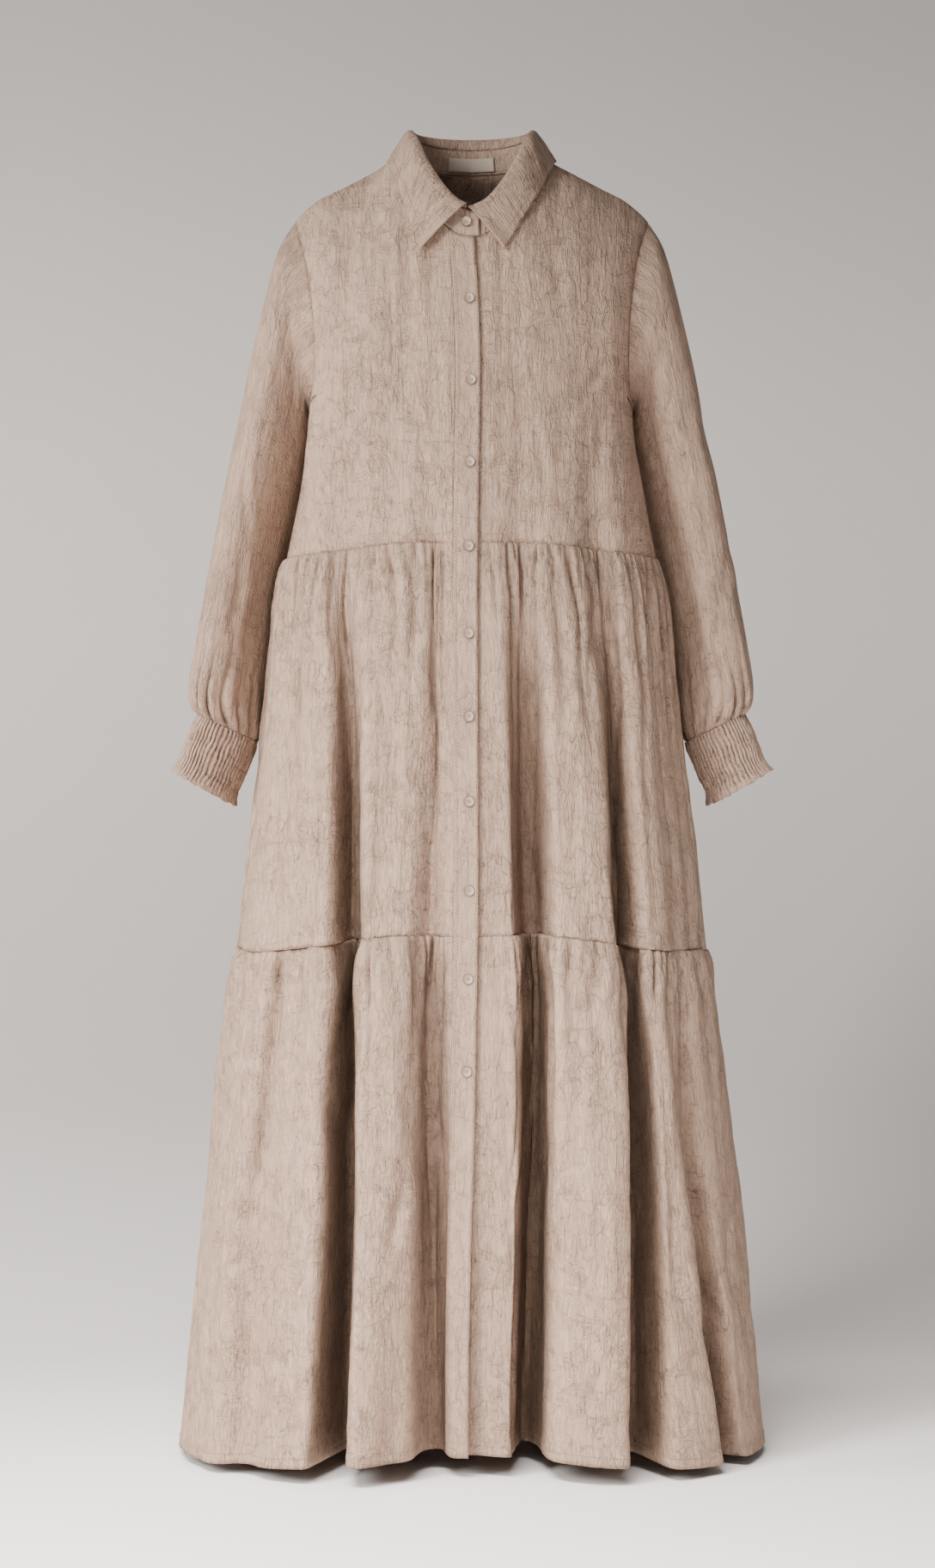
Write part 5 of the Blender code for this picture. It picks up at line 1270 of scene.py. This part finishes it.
def make_sleeve(side):
    """A sleeve, gathered into its cuff. Its last ring and that ring's normals come back."""
    sign = 1.0 if side == "left" else -1.0
    at = np.arange(SLEEVE_AROUND) * len(armholes[side][0]) / SLEEVE_AROUND
    ring, normal = (on_ring(at, a) for a in armholes[side])
    normal = unit(normal)
    edge = unit(np.cross(normal, np.roll(ring, -1, axis=0) - np.roll(ring, 1, axis=0)))
    if edge[0, 0] * sign < 0:
        edge = -edge
    turn = np.arange(SLEEVE_AROUND) * 2 * math.pi / SLEEVE_AROUND
    head = ring + edge * ARMHOLE_EASE
    points = smooth_rings(np.concatenate([head[None], sleeve_rings(side, turn)]), SLEEVE_STEPS)
    points[0] = ring - normal * SHELL - edge * UNDERLAP
    normals = normals_of(points, outward=-sign, closed=True)
    down = np.linalg.norm(np.diff(points, axis=0), axis=-1).mean(axis=1)
    u = (turn / (2 * math.pi) * SLEEVE_FLAT[0])[None, :]
    v = np.concatenate([[0.0], np.cumsum(down)])[:, None]
    above = v[-1] - v
    seed, crinkle_seed = SLEEVE_SEEDS[side]
    rng = np.random.default_rng(seed)
    chance = rng.uniform(*SLEEVE_STRENGTHS, (2, SLEEVE_COLUMNS))
    chance = np.concatenate([chance, chance[:, :1]], axis=1)
    column = turn[None, :] / (2 * math.pi) * SLEEVE_COLUMNS
    strength, reach = (np.interp(column, np.arange(SLEEVE_COLUMNS + 1), row) for row in chance)
    round_end = np.sin(turn[None, :] / 2) ** 0.5
    drift = noise(column, v, 4.0, 0.05, 9) * 0.9 * round_end
    height = read(SLEEVE_GATHERS, "height", above / (reach * SLEEVE_REACH))
    out = pillows(column + drift) * height * strength * 0.85
    ease_in = ease(0.0, 0.03, v) * ease(0.0, 0.02, above)
    out = out + crinkle(u, v, crinkle_seed, 0.55) * round_end * ease_in
    out = out + creases(points, SLEEVE_CREASES[side]) * ease_in
    head_gathers = pillows(column * 1.8 + drift) * HEAD_GATHER * (1.0 - ease(0.0, 0.04, v))
    out = (out + head_gathers * (turn > 0.4) * (turn < 5.9)) * (v > 0.0)
    puffed = points + normals * out[..., None]
    puffed[-1] -= normals[-1] * CUFF_TUCK
    cloth(f"sleeve_{side}", puffed, u, v,
          closed=True)
    return points[-1], normals[-1]


CUFF_AROUND = 400
CUFF_STEPS = 48
CUFF_GIRTH = 0.23
CUFF_SEEDS = {"left": 70, "right": 80}
PLEAT_PITCH = 0.0022
PLEAT_HEIGHT = 0.0023
SHIRR_PITCH = 0.0078  # between two rows of shirring
SHIRR_HEIGHT = 0.00040
FRILL_LENGTH = 0.011
FRILL_HEIGHT = 0.0032


def make_cuff(side, ring, normal):
    """A shirred cuff with a ruffled end."""
    sign = 1.0 if side == "left" else -1.0
    shift = np.array(CUFF_END_SHIFT) * (sign, 1, 1)
    axis = unit(shift)
    share = np.arange(CUFF_AROUND) / CUFF_AROUND
    normal = unit(on_ring(share * len(ring), across_seam(normal, shift)))
    ring = on_ring(share * len(ring), ring)
    centre = ring.mean(axis=0)
    outwards = sign * (ring[:, 0] - centre[0]) / np.max(np.abs(ring[:, 0] - centre[0]))
    length = CUFF["rows"][-1][0]
    along = np.linspace(0.0, length, CUFF_STEPS)
    u, v = share[None, :] * CUFF_GIRTH, along[:, None]
    seed = CUFF_SEEDS[side]
    sway = noise(u, v, 0.016, 0.011, seed) * 0.0011 + noise(u, v, 0.006, 0.0055, seed + 1) * 0.0006
    ridge = pillows((u + sway) / PLEAT_PITCH)
    ridge = ridge * (0.75 + 0.45 * noise(u, v, 0.004, 0.009, seed + 3))
    band = np.cos(v / SHIRR_PITCH * 2 * math.pi)
    pleat = ridge * (PLEAT_HEIGHT - 0.0003 * band) + SHIRR_HEIGHT * band
    ruffle = ease(length - FRILL_LENGTH, length, v)
    frill = noise(u, v * 0.2, 0.0048, 0.01, seed + 2)
    pleat = pleat * (1 - ruffle) + ruffle * FRILL_HEIGHT * frill
    pleat = pleat * np.sin(share * math.pi) ** 0.3
    rings = []
    for row, reach in enumerate(along):
        grow = float(read(CUFF, "grow", reach))
        tilt = (CUFF_END_TILT * (reach / length) * outwards)[:, None]
        spot = centre + (ring - centre) * grow + shift * (reach / length) - shift * tilt
        rings.append(spot + axis * SEAM_GAP * (row == 0) + normal * pleat[row][:, None])
    points = np.array(rings)
    points[-1] += axis * (noise(u[0], 0.0, 0.004, 1.0, seed + 4) * 0.0012)[:, None]
    cloth(f"cuff_{side}", points, u, v,
          closed=True, thickness=CUFF_SHELL)


for arm in ("left", "right"):
    make_cuff(arm, *make_sleeve(arm))


# ---------------------------------------------------------------- the collar

STAND_FINE = 9  # rows of the stand
LEAF_FINE = 26  # rows of the leaf
LEAF_AROUND = 90
ROLL_ROWS = 6  # of the leaf's rows, up from the stand to the roll
ROLL_CROWN = 0.0022
INSIDE_STITCH = 0.6  # of the wall's thickness, from its middle to the stitches inside
OUTSIDE_STITCH = 0.55


def stand_rows(phi, steps):
    seam, edge = neck_ring(phi)
    top = stand_top(phi)
    start = seam + edge * seam_offset(edge, unit(top - seam))
    share = np.linspace(0.0, 1.0, steps)[:, None, None]
    return top * (1 - share) + start * share


def make_stand():
    """The stand, lower at its end on the wearer's right, where it shows."""
    last = 360.0 + STAND_OVERLAP
    phi = np.linspace(-STAND_OVERLAP, last, 240)
    points = stand_rows(phi, STAND_FINE)
    fall = points[-1] - points[0]
    share = np.linspace(0.0, 1.0, STAND_FINE)[:, None]
    squeeze = (ease(360.0, last, phi) ** 2)[None, :] * (0.5 - share) * 0.5 * (share < 0.5)
    points = points + fall[None] * squeeze[..., None]
    cloth("collar_stand", points, arc_lengths(points), share * 0.03,
          material=plain_linen, thickness=BAND_SHELL)
    normals = normals_of(points)
    inner = points - normals * BAND_SHELL * INSIDE_STITCH
    stitched("stand_seam_stitches", inner[7, 70:170], -normals[7, 70:170])


def leaf_half(side, count):
    """Half of the leaf: up from the stand, over the roll and down to its edge."""
    sign, start = (1.0 if side == "left" else -1.0), LEAF_START[side]
    ring_angle = np.linspace(start, 180.0, count)
    phi = ring_angle if side == "left" else 360.0 - ring_angle
    seam, _ = neck_ring(phi)
    top = stand_top(phi)
    table_angle = (ring_angle - start) * 180.0 / (180.0 - start)
    out = unit((top - (0.0, NECK_MIDDLE_Y, 0.0)) * (1, 1, 0))
    roll = top + out * ROLL_WIDTH
    roll[:, 2] = read(COLLAR, "roll_z", ring_angle)
    x = sign * read(LEAF_EDGE, f"{side}_x", table_angle)
    z = read(LEAF_EDGE, "z", table_angle)
    ahead = (table_angle <= 90.0)[:, None]
    face = np.where(ahead, skin(angle_at("front", x, z), z), skin(angle_at("back", x, z), z))
    flat = np.where(ahead, (0.0, -1.0, LEAF_TILT), (0.0, 1.0, LEAF_TILT))
    on_top = ease(*LEAF_TOP[:2], table_angle) * (1.0 - ease(*LEAF_TOP[1:], table_angle))
    away = unit(flat * (1.0 - on_top)[:, None] + on_top[:, None] * np.array([0, 0, 1.0]))
    edge = face + away * read(LEAF_EDGE, "lift", table_angle)[:, None]
    length = np.linalg.norm(edge - roll, axis=-1, keepdims=True)
    first = roll + out * ROLL_PULL * length + np.array([0.0, 0.0, ROLL_RISE])
    second = edge + (roll - edge) * EDGE_PULL + away * EDGE_LIFT * length
    begin = top + unit(top - seam) * SEAM_GAP - out * SHELL
    crown = (begin + roll) / 2 + np.array([0.0, 0.0, ROLL_CROWN])
    t = np.linspace(0.0, 1.0, ROLL_ROWS + 1)[:-1, None, None]
    rise = (1 - t) ** 2 * begin + 2 * t * (1 - t) * crown + t**2 * roll
    t = np.linspace(0.0, 1.0, LEAF_FINE - ROLL_ROWS)[:, None, None]
    fall = (
        (1 - t) ** 3 * roll
        + 3 * t * (1 - t) ** 2 * first
        + 3 * t**2 * (1 - t) * second
        + t**3 * edge
    )
    return np.concatenate([rise, fall])


def make_leaf():
    left, right = (leaf_half(side, LEAF_AROUND) for side in ("left", "right"))
    points = np.concatenate([left, right[:, -2::-1]], axis=1)
    u, v = arc_lengths(points[-8:]), np.linspace(0.0, 0.07, LEAF_FINE)[:, None]
    column = np.arange(points.shape[1])
    fade = ease(0, 5, np.minimum(column, column[::-1])) * ease(0.02, 0.04, v)
    points = points + normals_of(points) * (crinkle(u, v, 900, 0.45) * fade)[..., None]
    cloth("collar_leaf", points, u, v, thickness=BAND_SHELL)
    normals = normals_of(points)
    top = points + normals * BAND_SHELL * OUTSIDE_STITCH
    stitched("leaf_edge_stitches", top[-4, 4:-4], normals[-4, 4:-4])
    for name, column in (("leaf_left_stitches", 4), ("leaf_right_stitches", -5)):
        stitched(name, top[7:-3, column], normals[7:-3, column])
    inner = points - normals * BAND_SHELL * INSIDE_STITCH
    stitched("leaf_inside_stitches", inner[3, 40:-40], -normals[3, 40:-40])


def make_label():
    """A bare tape inside the stand, at the middle of the back."""
    reach = math.degrees(math.asin(LABEL_WIDTH / 2 / NECK_RING_WIDTH))
    rows = stand_rows(np.linspace(180.0 - reach, 180.0 + reach, 24), STAND_FINE)
    rise = unit(rows[0] - rows[-1])
    lower = rows[-1] + rise * LABEL_RISE - normals_of(rows)[-1] * LABEL_CLEAR
    share = np.linspace(1.0, 0.0, 8)[:, None]
    points = lower[None] + rise[None] * LABEL_HEIGHT * share[..., None]
    cloth("neck_label", points, arc_lengths(points), (1 - share) * LABEL_HEIGHT,
          material=tape, thickness=TAPE_SHELL, kind="tape")


make_stand()
make_leaf()
make_label()


# ---------------------------------------------------------------- the plackets

PLACKET_COLUMNS = 15
PLACKET_STEPS = 270
UNDER_COLUMNS = 9
UNDER_STEPS = 200
PLACKET_LENGTH = 1.3
PLACKET_RISE = 0.0006  # the outer placket's distance from the cloth beside it
EDGE_RISE = 0.0012  # and how much further its free edge stands off


def placket_rows(first_inset, last_inset, columns, rows):
    share = np.linspace(0.0, 1.0, rows)[:, None]
    inset = np.linspace(first_inset, last_inset, columns)[None, :]
    top_x = read(PLACKET_EDGE, "x", -0.085) - inset
    top_z = read(COLLAR, "seam_z", np.degrees(np.arcsin(np.abs(top_x) / NECK_HALF_WIDTH)))
    z = top_z * (1 - share) + HEM * share
    x = read(PLACKET_EDGE, "x", z) - inset
    return skin(angle_at("front", x, z), z)


def make_plackets():
    """The outer placket with its stitching, and the one that lies hidden beneath it."""
    outer = placket_rows(PLACKET_WIDTH, 0.0, PLACKET_COLUMNS, PLACKET_STEPS)
    u = np.linspace(0.0, PLACKET_WIDTH, PLACKET_COLUMNS)[None, :]
    v = np.linspace(0.0, PLACKET_LENGTH, PLACKET_STEPS)[:, None]
    waves = noise(u, v, 0.02, 0.045, 61) * 0.0005 + noise(u, v, 0.05, 0.16, 62) * 0.0012
    free_edge = ease(PLACKET_WIDTH * 0.6, PLACKET_WIDTH, u) * EDGE_RISE
    out = waves * ease(0.0, 0.004, u) + PLACKET_RISE + free_edge
    outer = outer + normals_of(outer) * out[..., None]
    cloth("placket_right", outer, u, v, material=plain_linen, thickness=BAND_SHELL)
    normals = normals_of(outer)
    top = outer + normals * BAND_SHELL * OUTSIDE_STITCH
    for name, column in (("left", 1), ("inner", 2), ("edge", 13)):
        stitched(f"placket_{name}_stitches", top[:, column], normals[:, column], length=FINE_STITCH)
    inner = placket_rows(PLACKET_WIDTH - UNDER_INSET, UNDER_LAP, UNDER_COLUMNS, UNDER_STEPS)
    u = np.linspace(0.0, 0.02, UNDER_COLUMNS)[None, :]
    v = np.linspace(0.0, PLACKET_LENGTH, UNDER_STEPS)[:, None]
    cloth("placket_left", under_layer(inner), u, v, material=plain_linen,
          thickness=BAND_SHELL)


make_plackets()


# ---------------------------------------------------------------- the buttons

BUTTON_PROFILE = {
    "columns": ("radius", "height"),
    "rows": (
        (0.0, -0.0001), (0.0030, -0.0001), (0.0040, 0.0004), (0.0046, 0.0013), (0.0051, 0.0015),
        (0.0056, 0.0009), (0.00575, 0.0003), (0.0056, -0.0006), (0.0048, -0.0011), (0.0, -0.0012),
    ),
}
BUTTON_STAND_OFF = 0.0009
BUTTON_LEAN = 0.5  # the most that a button is turned, in radians
HOLE_PLACES = (-0.00115, 0.00115)  # in x and in y
HOLE_RADIUS = 0.00062
THREAD_SIZE = (0.00035, 0.0027, 0.0004)
THREAD_HEIGHT = 0.0001
THREAD_SPREAD = (-0.0002, 0.0002)  # of the two threads over a pair of holes
SHARP_ANGLE = math.radians(50)


def button_mesh():
    """A dished button with a rounded rim and four holes."""
    build = bmesh.new()
    verts = [build.verts.new((radius, 0.0, height)) for radius, height in BUTTON_PROFILE["rows"]]
    edges = [build.edges.new(pair) for pair in zip(verts[:-1], verts[1:])]
    bmesh.ops.spin(build, geom=verts + edges, cent=(0, 0, 0), axis=(0, 0, 1), steps=40,
                   angle=2 * math.pi)
    bmesh.ops.remove_doubles(build, verts=build.verts, dist=0.00001)
    bmesh.ops.recalc_face_normals(build, faces=build.faces)
    disc = shown("button_form", built(build, "button_form"))
    build = bmesh.new()
    for x in HOLE_PLACES:
        for y in HOLE_PLACES:
            bmesh.ops.create_cone(build, cap_ends=True, segments=14, radius1=HOLE_RADIUS,
                                  radius2=HOLE_RADIUS, depth=0.01,
                                  matrix=Matrix.Translation((x, y, 0.0)))
    cutter = shown("button_holes", built(build, "button_holes"))
    cut = disc.modifiers.new("holes", "BOOLEAN")
    cut.operation, cut.object, cut.solver = "DIFFERENCE", cutter, "EXACT"
    depsgraph = bpy.context.evaluated_depsgraph_get()
    made = bpy.data.meshes.new_from_object(disc.evaluated_get(depsgraph))
    bpy.data.objects.remove(disc)
    bpy.data.objects.remove(cutter)
    for polygon in made.polygons:
        polygon.use_smooth = True
    made.set_sharp_from_angle(angle=SHARP_ANGLE)
    made.materials.clear()
    made.materials.append(shell_like)
    return made


def thread_mesh():
    """The thread over a button's holes."""
    build = bmesh.new()
    size = Matrix.Diagonal((*THREAD_SIZE, 1.0))
    for x in HOLE_PLACES:
        for shift in THREAD_SPREAD:
            place = Matrix.Translation((x + shift, 0.0, THREAD_HEIGHT))
            bmesh.ops.create_cube(build, size=1.0, matrix=place @ size)
    mesh = built(build, "button_thread")
    mesh.materials.append(thread)
    return mesh


def button_spots():
    """The middle and the outward direction of each button, on the stand and down the placket."""
    phi = 360.0 + math.degrees(math.asin(STAND_BUTTON_X / NECK_RING_WIDTH))
    near = stand_rows(np.array([phi - BUTTON_TURN, phi, phi + BUTTON_TURN]), 3)
    spots = [(near[1, 1], normals_of(near)[1, 1])]
    for z in BUTTON_HEIGHTS:
        x = float(read(PLACKET_EDGE, "x", z)) - BUTTON_INSET
        across = on_front(x + BUTTON_STEP, z) - on_front(x - BUTTON_STEP, z)
        down = on_front(x, z - BUTTON_STEP) - on_front(x, z + BUTTON_STEP)
        spots.append((on_front(x, z), unit(np.cross(down, across))))
    return spots


def make_buttons():
    form, sewing = button_mesh(), thread_mesh()
    rise = CLOTH / 2 + BUTTON_STAND_OFF + BUTTON_THICKNESS / 2
    rng = np.random.default_rng(12)
    for number, (centre, normal) in enumerate(button_spots(), 1):
        z = unit(normal)
        x = unit(np.cross((0.0, 0.0, 1.0), z))
        turned = np.eye(4)
        turned[:3] = np.stack([x, np.cross(z, x), z, centre + normal * rise], axis=1)
        lean = Matrix.Rotation(float(rng.uniform(-BUTTON_LEAN, BUTTON_LEAN)), 4, "Z")
        for kind, mesh, slot in (("resin", form, "button"), ("thread", sewing, "linen")):
            piece = shown(f"button_{number:02d}_{kind}", mesh)
            piece.matrix_world = Matrix(turned.tolist()) @ lean
            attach(piece, "root")
            if kind == "resin":
                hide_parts(f"button_{number:02d}")


make_buttons()


# ---------------------------------------------------------------- the studio

PAPER_COLOUR = (0.90, 0.850, 0.828)
PAPER_HEIGHT = 2.4
PAPER_LIGHT_AND_SHADE = (1.06, 0.20, 0.36)  # painted light and shade: the paper's brightness at the floor, and what it loses up the curve and up the wall
STAGE_FRONT = -4.5
STAGE_BACK = 0.55  # where the floor starts to curve up
STAGE_RADIUS = 1.3
STAGE_HEIGHT = 4.0
STAGE_HALF_WIDTH = 4.5
CURVE_STEPS = 24
WARM_WHITE = (1.0, 0.985, 0.965)
WORLD_STRENGTH = 0.15
# Each lamp's place, the place it points at, its size, power and spread in degrees.
LIGHTS = {
    "key": ((-2.6, -2.9, 0.8), (0.0, 0.0, -0.80), (1.0, 1.5), 160.0, 180.0),
    "side": ((-3.0, -0.9, -0.1), (0.0, 0.0, -0.70), (0.8, 1.8), 60.0, 180.0),
    "fill": ((2.6, -3.0, 0.0), (0.0, 0.0, -0.8), (2.2, 2.4), 10.0, 180.0),
    "front": ((-0.6, -4.2, 0.7), (0.0, 0.0, -0.7), (1.8, 1.2), 12.0, 180.0),
    "floor_wash": ((-0.6, -1.9, 1.2), (-0.2, -1.1, -1.4), (2.4, 0.9), 60.0, 70.0),
}


def studio_paper():
    """Matt paper with painted light and shade: lighter on the floor, darker up the curve and towards the
    top of the backdrop.
    """
    n = Nodes("studio_paper", roughness=0.95, specular=0.2)
    place = n.add("ShaderNodeTexCoord").outputs["Object"]
    # Painted light and shade: the paper is brightest on the floor and darkens up the curve and the wall,
    # as a lamp's light falls off.
    up = (n.split(place)[2] - FLOOR) / PAPER_HEIGHT
    fall = PAPER_LIGHT_AND_SHADE[0] - n.step(up, 0.0, 0.12) * PAPER_LIGHT_AND_SHADE[1]
    fall = fall - n.step(up, 0.35, 1.0) * PAPER_LIGHT_AND_SHADE[2]
    grain = (n.noise(place, 3.0, 3.0) - 0.5) * 0.02
    n.put(n.scaled(PAPER_COLOUR, fall + grain), n.inputs["Base Color"])
    return n.material


def make_stage():
    """A pale floor that curves up into a backdrop."""
    path = [(STAGE_FRONT, 0.0), (STAGE_BACK, 0.0)]
    for k in range(1, CURVE_STEPS + 1):
        a = k / CURVE_STEPS * math.pi / 2
        path.append((STAGE_BACK + STAGE_RADIUS * math.sin(a), STAGE_RADIUS * (1 - math.cos(a))))
    path.append((STAGE_BACK + STAGE_RADIUS, STAGE_HEIGHT))
    build = bmesh.new()
    left, right = ([build.verts.new((x, y, FLOOR + z)) for y, z in path]
                   for x in (-STAGE_HALF_WIDTH, STAGE_HALF_WIDTH))
    for k in range(len(path) - 1):
        build.faces.new((left[k], right[k], right[k + 1], left[k + 1]))
    mesh = built(build, "studio_floor")
    for polygon in mesh.polygons:
        polygon.use_smooth = True
    mesh.materials.append(studio_paper())
    shown("studio_floor", mesh)


def make_lights():
    for name, (place, aim, size, power, spread) in LIGHTS.items():
        data = bpy.data.lights.new(name, "AREA")
        data.shape = "RECTANGLE"
        data.size, data.size_y = size
        data.energy = power
        data.color = WARM_WHITE
        data.spread = math.radians(spread)
        lamp = shown(name, data)
        lamp.location = place
        lamp.rotation_euler = (Vector(aim) - Vector(place)).to_track_quat("-Z", "Y").to_euler()
    world = bpy.data.worlds.new("studio")
    world.use_nodes = True
    background = world.node_tree.nodes["Background"].inputs
    background["Color"].default_value = (*WARM_WHITE, 1.0)
    background["Strength"].default_value = WORLD_STRENGTH
    bpy.context.scene.world = world


def make_camera():
    data = bpy.data.cameras.new("camera")
    data.lens = CAMERA_LENS
    data.sensor_width = 36.0
    camera = shown("camera", data)
    camera.location = CAMERA_PLACE
    camera.rotation_euler = (math.pi / 2, 0.0, 0.0)
    bpy.context.scene.camera = camera


make_stage()
make_lights()
make_camera()
